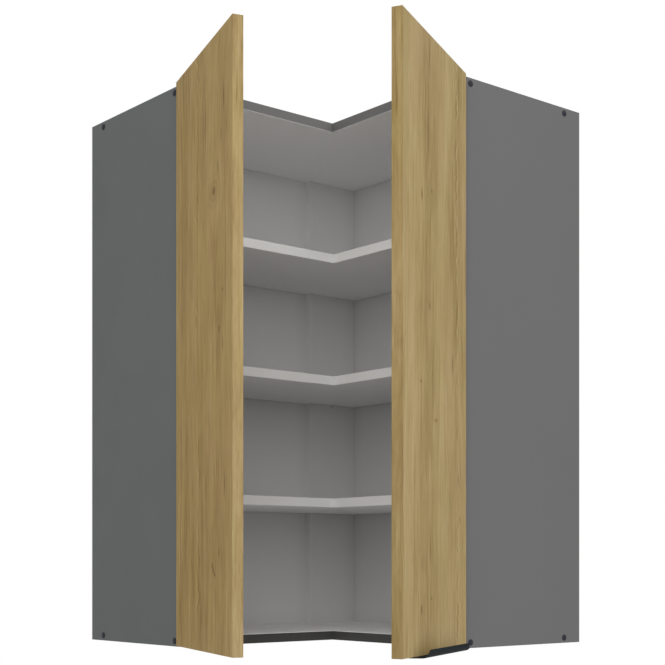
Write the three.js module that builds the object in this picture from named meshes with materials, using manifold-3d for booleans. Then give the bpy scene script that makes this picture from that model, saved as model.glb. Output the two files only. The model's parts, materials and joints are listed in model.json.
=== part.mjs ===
// L-shaped corner wall cabinet with two doors, three fixed-height shelves and concealed hinges.
// Millimetres, +Z up. The origin is the corner of the room, level with the cabinet's underside.
// The right leg runs along +X, the left leg along -Y. Both doors stand open.
import * as THREE from 'three';
import { mergeVertices } from 'three/addons/utils/BufferGeometryUtils.js';
import Module from 'manifold-3d';

// ---- Carcass -------------------------------------------------------------------------------
const HEIGHT = 900;
const LEG = 598;
const SIDE_DEPTH = 290;
const BOARD = 16;
const PANEL_SETBACK = 1;
const PANEL_INSET = 1;
const SHELF_SETBACK = 21;
const SHELF_PITCH = 215;
const SHELF_COUNT = 3;
const SHELF_END_GAP = 0.5;
const SHELF_BACK_GAP = 0.5;

// ---- Backs and corner post -----------------------------------------------------------------
const BACK_INSET = 12;
const BACK_THICKNESS = 3;
const GROOVE_DEPTH = 8;
const GROOVE_GAP = 0.3;
const POST_WIDTH = 115;

// ---- Fasteners and shelf pins --------------------------------------------------------------
const SCREW_BACK_OFFSET = 39;
const SCREW_FRONT_OFFSET = 27;
const SCREW_HOLE_RADIUS = 3.5;
const SCREW_PILOT_RADIUS = 2.5;
const SCREW_PILOT_DEPTH = 34;
const CAP_RADIUS = 5;
const CAP_RIM = 0.9;
const CAP_DOME = 0.7;
const CAP_SHOULDER_RADIUS = 3.5;
const CAP_SHOULDER_RISE = 0.5;
const CAP_STEM_RADIUS = 2;
const CAP_STEM_LENGTH = 4;
const PIN_RADIUS = 2.5;
const PIN_LENGTH = 16;
const PIN_BEVEL = 0.6;
const PIN_EMBEDDED = 8;
const PIN_GAP = 0.1;
const PIN_BACK_OFFSET = 50;
const PIN_FRONT_SETBACK = 32;

// ---- Doors ---------------------------------------------------------------------------------
const DOOR_THICKNESS = 16;
const DOOR_LIFT = 2.5;
const DOOR_TOP_MARGIN = 1.5;
const DOOR_GAP = 2;
const PIVOT_INSET = 2.35;
const DOOR_MEETING_GAP = 1.05;
const LEFT_DOOR_TUCK = 7;
const LEFT_OPEN_ANGLE = 108;
const RIGHT_OPEN_ANGLE = 117;

// ---- Concealed hinges ----------------------------------------------------------------------
const HINGE_END_OFFSET = 100;
const CUP_HOLE_RADIUS = 17.5;
const CUP_EDGE_DISTANCE = 3;
const CUP_HOLE_DEPTH = 13.2;
const CUP_WALL = 0.7;
const CUP_FLOOR = 0.6;
const CUP_FLANGE = 0.8;
const CUP_FLANGE_RIM = 1.5;
const CUP_WING_OFFSET = 9.5;
const CUP_WING_WIDTH = 12;
const CUP_WING_SPAN = 56;
const CUP_CHEEK = 1.3;
const CUP_CHEEK_BACK = 4;
const CUP_CHEEK_FRONT = 11;
const PLATE_SETBACK = 37;
const PLATE_BASE = 1.6;
const PLATE_BASE_WIDTH = 16;
const PLATE_BASE_SPAN = 52;
const PLATE_BLOCK_HEIGHT = 7;
const PLATE_BLOCK_LENGTH = 42;
const PLATE_BLOCK_WIDTH = 12;
const ARM_SHEET = 2;
const ARM_OVERHANG = 4;
const TONGUE_WIDTH = 7;
const TONGUE_SHEET = 3;
const TONGUE_KNEE = 1;
const TONGUE_KNEE_RISE = 2.37;
const TONGUE_HEEL = 2;
const EYE_RADIUS = 2;
const EYE_HOLE_RADIUS = 1.1;
const EYE_ALONG = 6.9;
const EYE_DEPTH = 9.9;
const EYE_WRAP_ALONG = 1;
const EYE_WRAP_OUT = 1.6;
const LINK_LENGTH = 22.5;
const LINK_RADIUS = 1.6;
const LINK_SHEET = 1.3;
const LINK_SIDE_GAP = 0.4;
const LINK_PIN_RADIUS = 0.8;
const LINK_BAR_RADIUS = 1.2;
const LINK_CLOSED_ANGLE = -20;
const LINK_RATIO = 1.46;

// ---- Edge pull on the right door -----------------------------------------------------------
const PULL_LENGTH = 205;
const PULL_SHEET = 1.2;
const PULL_REACH = 21.5;
const PULL_LIP_TOP = 12.8;
const PULL_BEND = 8;
const PULL_LEG_HEIGHT = 22;
const PULL_END_TAPER = 6;
const PULL_LIP_FOOT_INSET = 4.8;
const PULL_LIP_TAPER = 14;

// ---- Hangers -------------------------------------------------------------------------------
const HANGER_WIDTH = 18;
const HANGER_LENGTH = 60;
const HANGER_HEIGHT = 60;
const HANGER_DROP = 8;
const HANGER_CORNER = 5;
const HANGER_POCKET_WIDTH = 6;
const HANGER_POCKET_DEPTH = 44;
const HANGER_SCREW_RADIUS = 4;
const HANGER_SCREW_DEPTH = 6;
const HANGER_SCREW_MARGIN = 15;
const HOOK_SHEET = 2.5;
const HOOK_HEIGHT = 14;
const HOOK_TIP_DROP = 12;
const HOOK_WALL_GAP = 3.2;
const HOOK_WINDOW_MARGIN = 3;
const RAIL_SHEET = 1.5;
const RAIL_WIDTH = 46;
const RAIL_FOOT = 24;
const RAIL_RAMP = 7;
const RAIL_LIP = 13;

const SEAT_GAP = 0.3;
const CUT_OVERRUN = 1;
const ROUND_SEGMENTS = 24;
const BEND_SEGMENTS = 8;
const CUP_SEGMENTS = 48;

// ---- Values worked out from the sizes above ------------------------------------------------
const SIDE_INNER = LEG - BOARD;
const PANEL_FRONT = SIDE_DEPTH - PANEL_SETBACK;
const FLOOR_TOP = PANEL_INSET + BOARD;
const CEILING = HEIGHT - PANEL_INSET - BOARD;
const SHELF_FRONT = SIDE_DEPTH - SHELF_SETBACK;
const BACK_FRONT = BACK_INSET + BACK_THICKNESS;
const POST_START = BACK_FRONT;
const POST_END = POST_START + POST_WIDTH;
const POST_MIDDLE = (POST_START + POST_END) / 2;
const POST_FACE = BACK_INSET + BOARD;
const PIVOT_ALONG = LEG - PIVOT_INSET;
const PIVOT_OUT = SIDE_DEPTH + DOOR_GAP;
const DOOR_FACE = PIVOT_OUT + DOOR_THICKNESS;
const RIGHT_DOOR_WIDTH = PIVOT_ALONG - DOOR_FACE - DOOR_MEETING_GAP;
const LEFT_DOOR_WIDTH = PIVOT_ALONG - DOOR_FACE + LEFT_DOOR_TUCK;
const SHELF_TOPS = Array.from(
  { length: SHELF_COUNT },
  (_, i) => FLOOR_TOP + BOARD + SHELF_PITCH * (i + 1),
);
const DOOR_TOP = HEIGHT - DOOR_TOP_MARGIN;
const HINGE_HEIGHTS = {
  lower: DOOR_LIFT + HINGE_END_OFFSET,
  upper: DOOR_TOP - HINGE_END_OFFSET,
};
const SIDES = {
  left: { flip: -1, closedTurn: Math.PI / 2, open: LEFT_OPEN_ANGLE, doorWidth: LEFT_DOOR_WIDTH },
  right: { flip: 1, closedTurn: Math.PI, open: RIGHT_OPEN_ANGLE, doorWidth: RIGHT_DOOR_WIDTH },
};

// ---- Finishes ------------------------------------------------------------------------------
function finish(color, roughness, metalness = 0) {
  return new THREE.MeshStandardMaterial({ color, roughness, metalness });
}

const GRAPHITE = 0x5f6160;
const LIGHT_GREY = 0xc9c7c4;
const OAK = 0xb08f58;
const BLACK_METAL = 0x2a2d30;
const CAP_PLASTIC = 0x3a3b42;
const STEEL = 0xb9bcc0;
const WHITE_PLASTIC = 0xe6e6e2;

// ---- Solid tools ---------------------------------------------------------------------------
const wasm = await Module();
wasm.setup();

function toSolid(geometry) {
  const bare = geometry.clone();
  bare.deleteAttribute('normal');
  bare.deleteAttribute('uv');
  const welded = mergeVertices(bare, 1e-5);
  return new wasm.Manifold(new wasm.Mesh({
    numProp: 3,
    vertProperties: new Float32Array(welded.attributes.position.array),
    triVerts: new Uint32Array(welded.index.array),
  }));
}

function toGeometry(solid) {
  const mesh = solid.getMesh();
  const welded = new THREE.BufferGeometry();
  welded.setAttribute('position', new THREE.BufferAttribute(new Float32Array(mesh.vertProperties), 3));
  welded.setIndex(new THREE.BufferAttribute(new Uint32Array(mesh.triVerts), 1));
  const geometry = welded.toNonIndexed();
  geometry.computeVertexNormals();
  return geometry;
}

const join = (...parts) => toGeometry(parts.map(toSolid).reduce((a, b) => a.add(b)));
const cut = (body, ...tools) => toGeometry(tools.map(toSolid).reduce((a, b) => a.subtract(b), toSolid(body)));

function slab([x0, x1], [y0, y1], [z0, z1]) {
  const geometry = new THREE.BoxGeometry(x1 - x0, y1 - y0, z1 - z0);
  return geometry.translate((x0 + x1) / 2, (y0 + y1) / 2, (z0 + z1) / 2);
}

function prism(points, [z0, z1]) {
  const drawn = points instanceof THREE.Shape;
  const shape = drawn ? points : new THREE.Shape(points.map(([x, y]) => new THREE.Vector2(x, y)));
  const geometry = new THREE.ExtrudeGeometry(shape, {
    depth: z1 - z0,
    bevelEnabled: false,
    curveSegments: BEND_SEGMENTS,
  });
  return geometry.translate(0, 0, z0);
}

function rod(radius, length, direction, start, segments = ROUND_SEGMENTS) {
  const geometry = new THREE.CylinderGeometry(radius, radius, length, segments);
  geometry.translate(0, length / 2, 0);
  geometry.applyQuaternion(turnTo(direction));
  return geometry.translate(start.x, start.y, start.z);
}

function turnTo(direction) {
  return new THREE.Quaternion().setFromUnitVectors(new THREE.Vector3(0, 1, 0), direction);
}

// ---- Leg coordinates: along the wall from the corner, out from the wall, and up ---------------
function onLeg(side, along, out, z) {
  return side === 'right' ? new THREE.Vector3(along, -out, z) : new THREE.Vector3(out, -along, z);
}

function alongLeg(side) {
  return onLeg(side, 1, 0, 0);
}

function legSlab(side, [a0, a1], [o0, o1], z) {
  return side === 'right' ? slab([a0, a1], [-o1, -o0], z) : slab([o0, o1], [-a1, -a0], z);
}

function legPrism(side, outline, [a0, a1]) {
  // The outline is drawn in (out, up) and extruded along the leg.
  const geometry = prism(outline, [0, a1 - a0]);
  const basis = new THREE.Matrix4();
  const up = new THREE.Vector3(0, 0, 1);
  if (side === 'right') {
    // out runs to -Y, so the extrusion runs back from the far end.
    basis.makeBasis(onLeg(side, 0, 1, 0), up, alongLeg(side).negate());
    geometry.applyMatrix4(basis);
    return geometry.translate(a1, 0, 0);
  }
  basis.makeBasis(onLeg(side, 0, 1, 0), up, alongLeg(side));
  geometry.applyMatrix4(basis);
  return geometry.translate(0, -a0, 0);
}

const cabinet = new THREE.Group();

// Centres a piece on its own middle and places it by its position.
function add(name, geometry, color, roughness, metalness, parent = cabinet) {
  geometry.computeBoundingBox();
  const middle = geometry.boundingBox.getCenter(new THREE.Vector3());
  geometry.translate(-middle.x, -middle.y, -middle.z);
  const mesh = new THREE.Mesh(geometry, finish(color, roughness, metalness));
  mesh.name = name;
  mesh.position.copy(middle);
  parent.add(mesh);
  return mesh;
}

// ---- Side panels ---------------------------------------------------------------------------
const SCREW_OUTS = [SCREW_BACK_OFFSET, SIDE_DEPTH - SCREW_FRONT_OFFSET];
const SCREW_HEIGHTS = { lower: PANEL_INSET + BOARD / 2, upper: HEIGHT - PANEL_INSET - BOARD / 2 };
const PIN_OUTS = [PIN_BACK_OFFSET, SHELF_FRONT - PIN_FRONT_SETBACK];
const pinHeight = (shelfTop) => shelfTop - BOARD - PIN_RADIUS - PIN_GAP;

function backGroove(side, along, z) {
  return legSlab(side, along, [BACK_INSET - GROOVE_GAP, BACK_FRONT + GROOVE_GAP], z);
}

function sidePanel(side) {
  const board = legSlab(side, [SIDE_INNER, LEG], [0, SIDE_DEPTH], [0, HEIGHT]);
  const inner = SIDE_INNER - CUT_OVERRUN;
  const tools = [backGroove(side, [inner, SIDE_INNER + GROOVE_DEPTH], [-CUT_OVERRUN, HEIGHT + CUT_OVERRUN])];
  for (const out of SCREW_OUTS) {
    for (const z of Object.values(SCREW_HEIGHTS)) {
      tools.push(rod(SCREW_HOLE_RADIUS, BOARD + 2 * CUT_OVERRUN, alongLeg(side), onLeg(side, inner, out, z)));
    }
  }
  for (const out of PIN_OUTS) {
    for (const top of SHELF_TOPS) {
      const start = onLeg(side, inner, out, pinHeight(top));
      tools.push(rod(PIN_RADIUS + PIN_GAP, PIN_EMBEDDED + PIN_GAP + CUT_OVERRUN, alongLeg(side), start));
    }
  }
  return cut(board, ...tools);
}

// ---- Top, bottom and shelves -----------------------------------------------------------------
function cornerPanel(z, grooveZ, screwHeight) {
  const outline = [
    [0, 0], [SIDE_INNER, 0], [SIDE_INNER, -PANEL_FRONT],
    [PANEL_FRONT, -PANEL_FRONT], [PANEL_FRONT, -SIDE_INNER], [0, -SIDE_INNER],
  ];
  const tools = [];
  for (const side of Object.keys(SIDES)) {
    tools.push(backGroove(side, [BACK_INSET - GROOVE_GAP, SIDE_INNER + CUT_OVERRUN], grooveZ));
    for (const out of SCREW_OUTS) {
      const start = onLeg(side, SIDE_INNER - SCREW_PILOT_DEPTH, out, screwHeight);
      tools.push(rod(SCREW_PILOT_RADIUS, SCREW_PILOT_DEPTH + CUT_OVERRUN, alongLeg(side), start));
    }
  }
  return cut(prism(outline, z), ...tools);
}

function shelf(top) {
  const back = BACK_FRONT + SHELF_BACK_GAP;
  const end = SIDE_INNER - SHELF_END_GAP;
  const postFront = POST_FACE + SHELF_BACK_GAP;
  const postEnd = POST_END + SHELF_BACK_GAP;
  const outline = [
    [postFront, -back], [end, -back], [end, -SHELF_FRONT],
    [SHELF_FRONT, -SHELF_FRONT], [SHELF_FRONT, -end], [back, -end],
    [back, -postEnd], [postFront, -postEnd],
  ];
  return prism(outline, [top - BOARD, top]);
}

// ---- Backs and corner post -------------------------------------------------------------------
const HANGER_TOP = CEILING - HANGER_DROP;
const HOOK_MIDDLE = HANGER_TOP - HANGER_HEIGHT / 2;
const HANGER_MIDDLE = SIDE_INNER - HANGER_WIDTH / 2;

function backPanel(side) {
  const start = side === 'right' ? BACK_INSET : POST_END - GROOVE_DEPTH + GROOVE_GAP;
  const reach = GROOVE_DEPTH - GROOVE_GAP;
  const z = [FLOOR_TOP - reach, CEILING + reach];
  const sheet = legSlab(side, [start, SIDE_INNER + reach], [BACK_INSET, BACK_FRONT], z);
  const windowHalf = HANGER_POCKET_WIDTH / 2 + HOOK_WINDOW_MARGIN;
  const windowRise = HOOK_HEIGHT / 2 + HOOK_WINDOW_MARGIN;
  const window = legSlab(
    side, [HANGER_MIDDLE - windowHalf, HANGER_MIDDLE + windowHalf], [0, POST_FACE],
    [HOOK_MIDDLE - windowRise, HOOK_MIDDLE + windowRise],
  );
  return cut(sheet, window);
}

function cornerPost() {
  const along = [POST_START + GROOVE_GAP, POST_END];
  const plank = legSlab('left', along, [BACK_INSET, POST_FACE], [FLOOR_TOP, CEILING]);
  const rebate = legSlab(
    'left', [POST_END - GROOVE_DEPTH, POST_END + CUT_OVERRUN],
    [BACK_INSET - CUT_OVERRUN, BACK_FRONT + GROOVE_GAP], [FLOOR_TOP - CUT_OVERRUN, CEILING + CUT_OVERRUN],
  );
  const tools = [rebate];
  for (const top of SHELF_TOPS) {
    const start = onLeg('left', POST_MIDDLE, POST_FACE - PIN_EMBEDDED - PIN_GAP, pinHeight(top));
    const depth = PIN_EMBEDDED + PIN_GAP + CUT_OVERRUN;
    tools.push(rod(PIN_RADIUS + PIN_GAP, depth, onLeg('left', 0, 1, 0), start));
  }
  return cut(plank, ...tools);
}

// ---- Small round pieces ----------------------------------------------------------------------
function lathe(profile, segments = ROUND_SEGMENTS) {
  return new THREE.LatheGeometry(profile.map(([r, y]) => new THREE.Vector2(r, y)), segments);
}

function screwCap() {
  return lathe([
    [0, -CAP_STEM_LENGTH], [CAP_STEM_RADIUS, -CAP_STEM_LENGTH], [CAP_STEM_RADIUS, 0], [CAP_RADIUS, 0],
    [CAP_RADIUS, CAP_RIM], [CAP_SHOULDER_RADIUS, CAP_RIM + CAP_SHOULDER_RISE], [0, CAP_RIM + CAP_DOME],
  ]);
}

function shelfPin() {
  return lathe([
    [0, 0], [PIN_RADIUS - PIN_BEVEL, 0], [PIN_RADIUS, PIN_BEVEL], [PIN_RADIUS, PIN_LENGTH - PIN_BEVEL],
    [PIN_RADIUS - PIN_BEVEL, PIN_LENGTH], [0, PIN_LENGTH],
  ]);
}

function addTurned(name, geometry, direction, start, color, roughness, metalness) {
  const mesh = new THREE.Mesh(geometry, finish(color, roughness, metalness));
  mesh.name = name;
  mesh.quaternion.copy(turnTo(direction));
  mesh.position.copy(start);
  cabinet.add(mesh);
}

// ---- Hangers: housing inside, hook through the back, rail on the wall -------------------------
function hangerHousing(side) {
  const back = BACK_FRONT + SEAT_GAP;
  const r = HANGER_CORNER;
  const [o0, o1, z0, z1] = [back, back + HANGER_LENGTH, HANGER_TOP - HANGER_HEIGHT, HANGER_TOP];
  const outline = new THREE.Shape();
  outline.moveTo(o0, z0);
  outline.lineTo(o1 - r, z0);
  outline.absarc(o1 - r, z0 + r, r, -Math.PI / 2, 0);
  outline.lineTo(o1, z1 - r);
  outline.absarc(o1 - r, z1 - r, r, 0, Math.PI / 2);
  outline.lineTo(o0, z1);
  const box = legPrism(side, outline, [SIDE_INNER - HANGER_WIDTH, SIDE_INNER]);
  const pocketHalf = HANGER_POCKET_WIDTH / 2;
  const pocket = legSlab(
    side, [HANGER_MIDDLE - pocketHalf, HANGER_MIDDLE + pocketHalf],
    [back - CUT_OVERRUN, back + HANGER_POCKET_DEPTH],
    [HOOK_MIDDLE - HOOK_HEIGHT / 2 - SEAT_GAP, HOOK_MIDDLE + HOOK_HEIGHT / 2 + SEAT_GAP],
  );
  const screwRise = HANGER_HEIGHT / 2 - HANGER_SCREW_MARGIN;
  const screws = [-1, 1].map((s) => rod(
    HANGER_SCREW_RADIUS, HANGER_SCREW_DEPTH + CUT_OVERRUN, onLeg(side, 0, 1, 0),
    onLeg(side, HANGER_MIDDLE, o1 - HANGER_SCREW_DEPTH, HOOK_MIDDLE + s * screwRise),
  ));
  return cut(box, pocket, ...screws);
}

function hangerHook(side) {
  const inner = BACK_FRONT + HANGER_POCKET_DEPTH;
  const [low, high] = [HOOK_MIDDLE - HOOK_HEIGHT / 2, HOOK_MIDDLE + HOOK_HEIGHT / 2];
  const outline = [
    [inner, low], [inner, high], [HOOK_WALL_GAP, high], [HOOK_WALL_GAP, low - HOOK_TIP_DROP],
    [HOOK_WALL_GAP + HOOK_SHEET, low - HOOK_TIP_DROP], [HOOK_WALL_GAP + HOOK_SHEET, low],
  ];
  return legPrism(side, outline, [HANGER_MIDDLE - HOOK_SHEET / 2, HANGER_MIDDLE + HOOK_SHEET / 2]);
}

function wallRail(side) {
  const lipTop = HOOK_MIDDLE - HOOK_HEIGHT / 2 - SEAT_GAP;
  const lipFoot = lipTop - RAIL_LIP;
  const rampFoot = lipFoot - RAIL_RAMP;
  const foot = rampFoot - RAIL_FOOT;
  const lipBack = HOOK_WALL_GAP + HOOK_SHEET + SEAT_GAP;
  const lipFront = lipBack + RAIL_SHEET;
  const outline = [
    [0, foot], [RAIL_SHEET, foot], [RAIL_SHEET, rampFoot], [lipFront, lipFoot], [lipFront, lipTop],
    [lipBack, lipTop], [lipBack, lipFoot + RAIL_SHEET], [0, rampFoot + RAIL_SHEET],
  ];
  const end = SIDE_INNER - SEAT_GAP;
  return legPrism(side, outline, [end - RAIL_WIDTH, end]);
}

// ---- Pieces drawn from a door's pivot: along the door, out of its inner face, and up ------------
function pivotGroup(side, turn) {
  const group = new THREE.Group();
  group.position.copy(onLeg(side, PIVOT_ALONG, PIVOT_OUT, 0));
  group.rotation.z = turn;
  cabinet.add(group);
  return group;
}

function doorSlab(side, [s0, s1], [t0, t1], z) {
  return SIDES[side].flip > 0 ? slab([s0, s1], [t0, t1], z) : slab([s0, s1], [-t1, -t0], z);
}

function doorPoint(side, s, t, z) {
  return new THREE.Vector3(s, SIDES[side].flip * t, z);
}

function doorPrism(side, outline, z) {
  return prism(outline.map(([s, t]) => [s, SIDES[side].flip * t]), z);
}

const CUP_CENTRE = CUP_EDGE_DISTANCE + CUP_HOLE_RADIUS;
const LINK_INSIDE = TONGUE_WIDTH / 2 + LINK_SIDE_GAP;
const LINK_OUTSIDE = LINK_INSIDE + LINK_SHEET;
const outward = (side) => doorPoint(side, 0, 1, 0);

function doorBoard(side) {
  const board = doorSlab(side, [0, SIDES[side].doorWidth], [0, DOOR_THICKNESS], [DOOR_LIFT, DOOR_TOP]);
  const cups = Object.values(HINGE_HEIGHTS).map((height) => rod(
    CUP_HOLE_RADIUS, CUP_HOLE_DEPTH + CUT_OVERRUN, outward(side),
    doorPoint(side, CUP_CENTRE, -CUT_OVERRUN, height), CUP_SEGMENTS,
  ));
  return cut(board, ...cups);
}

function hingeCup(side, z) {
  const outer = CUP_HOLE_RADIUS - SEAT_GAP;
  const inner = outer - CUP_WALL;
  const floor = CUP_HOLE_DEPTH - SEAT_GAP;
  const face = -SEAT_GAP - CUP_FLANGE;
  const at = (s, t) => doorPoint(side, s, t, z);
  const shell = rod(outer, floor - face, outward(side), at(CUP_CENTRE, face), CUP_SEGMENTS);
  const rim = rod(outer + CUP_FLANGE_RIM, CUP_FLANGE, outward(side), at(CUP_CENTRE, face), CUP_SEGMENTS);
  const wingMiddle = CUP_CENTRE + CUP_WING_OFFSET;
  const wings = doorSlab(
    side, [wingMiddle - CUP_WING_WIDTH / 2, wingMiddle + CUP_WING_WIDTH / 2], [face, -SEAT_GAP],
    [z - CUP_WING_SPAN / 2, z + CUP_WING_SPAN / 2],
  );
  const bowlDepth = floor - CUP_FLOOR - face;
  const bowl = rod(
    inner, bowlDepth + CUT_OVERRUN, outward(side), at(CUP_CENTRE, face - CUT_OVERRUN), CUP_SEGMENTS,
  );
  // The link's far end works between two cheeks that stand on the cup's floor.
  const cheekInside = LINK_OUTSIDE + SEAT_GAP;
  const cheekOutside = cheekInside + CUP_CHEEK;
  const cheeks = [[-cheekOutside, -cheekInside], [cheekInside, cheekOutside]].map(([low, high]) => doorSlab(
    side, [CUP_CENTRE - CUP_CHEEK_BACK, CUP_CENTRE + CUP_CHEEK_FRONT], [-SEAT_GAP, floor - CUP_FLOOR / 2],
    [z + low, z + high],
  ));
  return join(cut(join(shell, rim, wings), bowl), ...cheeks);
}

// The mounting plate sits on the side panel, so its places count from that panel's inner face.
const SIDE_FACE = BOARD - PIVOT_INSET;
const PLATE_MIDDLE = -DOOR_GAP - PLATE_SETBACK;
const BLOCK_TOP = SIDE_FACE + SEAT_GAP + PLATE_BLOCK_HEIGHT;
const ARM_INNER = BLOCK_TOP + SEAT_GAP;
const ARM_OUTER = ARM_INNER + ARM_SHEET;

function hingePlate(side, z) {
  const foot = SIDE_FACE + SEAT_GAP;
  const base = doorSlab(
    side, [foot, foot + PLATE_BASE],
    [PLATE_MIDDLE - PLATE_BASE_WIDTH / 2, PLATE_MIDDLE + PLATE_BASE_WIDTH / 2],
    [z - PLATE_BASE_SPAN / 2, z + PLATE_BASE_SPAN / 2],
  );
  const block = doorSlab(
    side, [foot, BLOCK_TOP], [PLATE_MIDDLE - PLATE_BLOCK_LENGTH / 2, PLATE_MIDDLE + PLATE_BLOCK_LENGTH / 2],
    [z - PLATE_BLOCK_WIDTH / 2, z + PLATE_BLOCK_WIDTH / 2],
  );
  return join(base, block);
}

function hingeArm(side, z) {
  const rear = PLATE_MIDDLE - PLATE_BLOCK_LENGTH / 2 - ARM_OVERHANG;
  const front = PLATE_MIDDLE + PLATE_BLOCK_LENGTH / 2 + ARM_OVERHANG;
  const inside = PLATE_BLOCK_WIDTH / 2 + SEAT_GAP;
  const outside = inside + ARM_SHEET;
  const legFoot = SIDE_FACE + 2 * SEAT_GAP + PLATE_BASE;
  const channel = doorSlab(side, [legFoot, ARM_OUTER], [rear, front], [z - outside, z + outside]);
  const hollow = doorSlab(
    side, [legFoot - CUT_OVERRUN, ARM_INNER], [rear - CUT_OVERRUN, front + CUT_OVERRUN],
    [z - inside, z + inside],
  );
  const bend = EYE_DEPTH - DOOR_GAP;
  const knee = SIDE_FACE + TONGUE_KNEE;
  const tongue = doorPrism(side, [
    [ARM_INNER, rear], [ARM_OUTER, rear], [ARM_OUTER, -bend], [knee + TONGUE_SHEET, TONGUE_KNEE_RISE],
    [EYE_ALONG + EYE_WRAP_ALONG, EYE_DEPTH + EYE_WRAP_OUT], [EYE_ALONG, EYE_DEPTH - EYE_RADIUS],
    [knee, 0], [ARM_INNER, -bend - TONGUE_HEEL],
  ], [z - TONGUE_WIDTH / 2, z + TONGUE_WIDTH / 2]);
  const up = new THREE.Vector3(0, 0, 1);
  const eyeFoot = doorPoint(side, EYE_ALONG, EYE_DEPTH, z - TONGUE_WIDTH / 2);
  const eye = rod(EYE_RADIUS, TONGUE_WIDTH, up, eyeFoot);
  const holeFoot = eyeFoot.clone().setZ(eyeFoot.z - CUT_OVERRUN);
  const hole = rod(EYE_HOLE_RADIUS, TONGUE_WIDTH + 2 * CUT_OVERRUN, up, holeFoot);
  return cut(join(cut(channel, hollow), tongue, eye), hole);
}

function hingeLink() {
  const outline = new THREE.Shape();
  outline.moveTo(0, -LINK_RADIUS);
  outline.lineTo(LINK_LENGTH, -LINK_RADIUS);
  outline.absarc(LINK_LENGTH, 0, LINK_RADIUS, -Math.PI / 2, Math.PI / 2);
  outline.lineTo(0, LINK_RADIUS);
  outline.absarc(0, 0, LINK_RADIUS, Math.PI / 2, 3 * Math.PI / 2);
  const up = new THREE.Vector3(0, 0, 1);
  const pin = rod(LINK_PIN_RADIUS, 2 * LINK_OUTSIDE, up, new THREE.Vector3(0, 0, -LINK_OUTSIDE));
  const bar = rod(LINK_BAR_RADIUS, 2 * LINK_OUTSIDE, up, new THREE.Vector3(LINK_LENGTH, 0, -LINK_OUTSIDE));
  const [near, far] = [[LINK_INSIDE, LINK_OUTSIDE], [-LINK_OUTSIDE, -LINK_INSIDE]];
  return join(prism(outline, near), prism(outline, far), pin, bar);
}

// ---- Edge pull: a leg on the inner face, a plate under the door and a lip in front ------------
function edgePull(side) {
  const top = DOOR_LIFT - SEAT_GAP;
  const bottom = top - PULL_SHEET;
  const back = -SEAT_GAP - PULL_SHEET;
  const front = DOOR_THICKNESS + PULL_REACH;
  const bendOut = front - PULL_BEND;
  const bendUp = bottom + PULL_BEND;
  const innerBend = PULL_BEND - PULL_SHEET;
  const outline = new THREE.Shape();
  outline.moveTo(back, PULL_LEG_HEIGHT);
  outline.lineTo(back, bottom);
  outline.lineTo(bendOut, bottom);
  outline.absarc(bendOut, bendUp, PULL_BEND, -Math.PI / 2, 0);
  outline.lineTo(front, PULL_LIP_TOP);
  outline.lineTo(front - PULL_SHEET, PULL_LIP_TOP);
  outline.absarc(bendOut, bendUp, innerBend, 0, -Math.PI / 2, true);
  outline.lineTo(-SEAT_GAP, top);
  outline.lineTo(-SEAT_GAP, PULL_LEG_HEIGHT);
  const bar = prism(outline, [0, PULL_LENGTH]);
  const axes = [doorPoint(side, 0, 1, 0), new THREE.Vector3(0, 0, 1), new THREE.Vector3(1, 0, 0)];
  bar.applyMatrix4(new THREE.Matrix4().makeBasis(...axes));
  const start = (SIDES[side].doorWidth - PULL_LENGTH) / 2;
  bar.translate(start, 0, 0);
  const wedges = [0, 1].map((end) => {
    const edge = start + end * PULL_LENGTH;
    const inward = end ? -1 : 1;
    return doorPrism(side, [
      [edge - inward * CUT_OVERRUN, DOOR_THICKNESS], [edge, DOOR_THICKNESS],
      [edge + inward * PULL_END_TAPER, front + CUT_OVERRUN],
      [edge - inward * CUT_OVERRUN, front + CUT_OVERRUN],
    ], [bottom - CUT_OVERRUN, PULL_LIP_TOP + CUT_OVERRUN]);
  });
  const corners = [0, 1].map((end) => {
    const inward = end ? -1 : 1;
    const foot = start + end * PULL_LENGTH + inward * PULL_LIP_FOOT_INSET;
    // Drawn in (along, up), then laid so that its thickness runs out of the door.
    const cornerTop = PULL_LIP_TOP + CUT_OVERRUN;
    const corner = prism([
      [foot - inward * PULL_LIP_TAPER, bendUp / 2], [foot, bendUp / 2],
      [foot + inward * PULL_LIP_TAPER, cornerTop], [foot - inward * PULL_LIP_TAPER, cornerTop],
    ], [-front - CUT_OVERRUN, -bendOut]);
    return corner.rotateX(Math.PI / 2);
  });
  return cut(bar, ...wedges, ...corners);
}

// ---- Assembly --------------------------------------------------------------------------------
add('top_panel', cornerPanel(
  [CEILING, HEIGHT - PANEL_INSET], [CEILING - CUT_OVERRUN, CEILING + GROOVE_DEPTH], SCREW_HEIGHTS.upper,
), GRAPHITE, 0.6, 0);
add('bottom_panel', cornerPanel(
  [PANEL_INSET, FLOOR_TOP], [FLOOR_TOP - GROOVE_DEPTH, FLOOR_TOP + CUT_OVERRUN], SCREW_HEIGHTS.lower,
), GRAPHITE, 0.6, 0);
SHELF_TOPS.forEach((top, i) => add(`shelf_${i + 1}`, shelf(top), LIGHT_GREY, 0.55, 0));
add('corner_post', cornerPost(), LIGHT_GREY, 0.55, 0);

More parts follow.
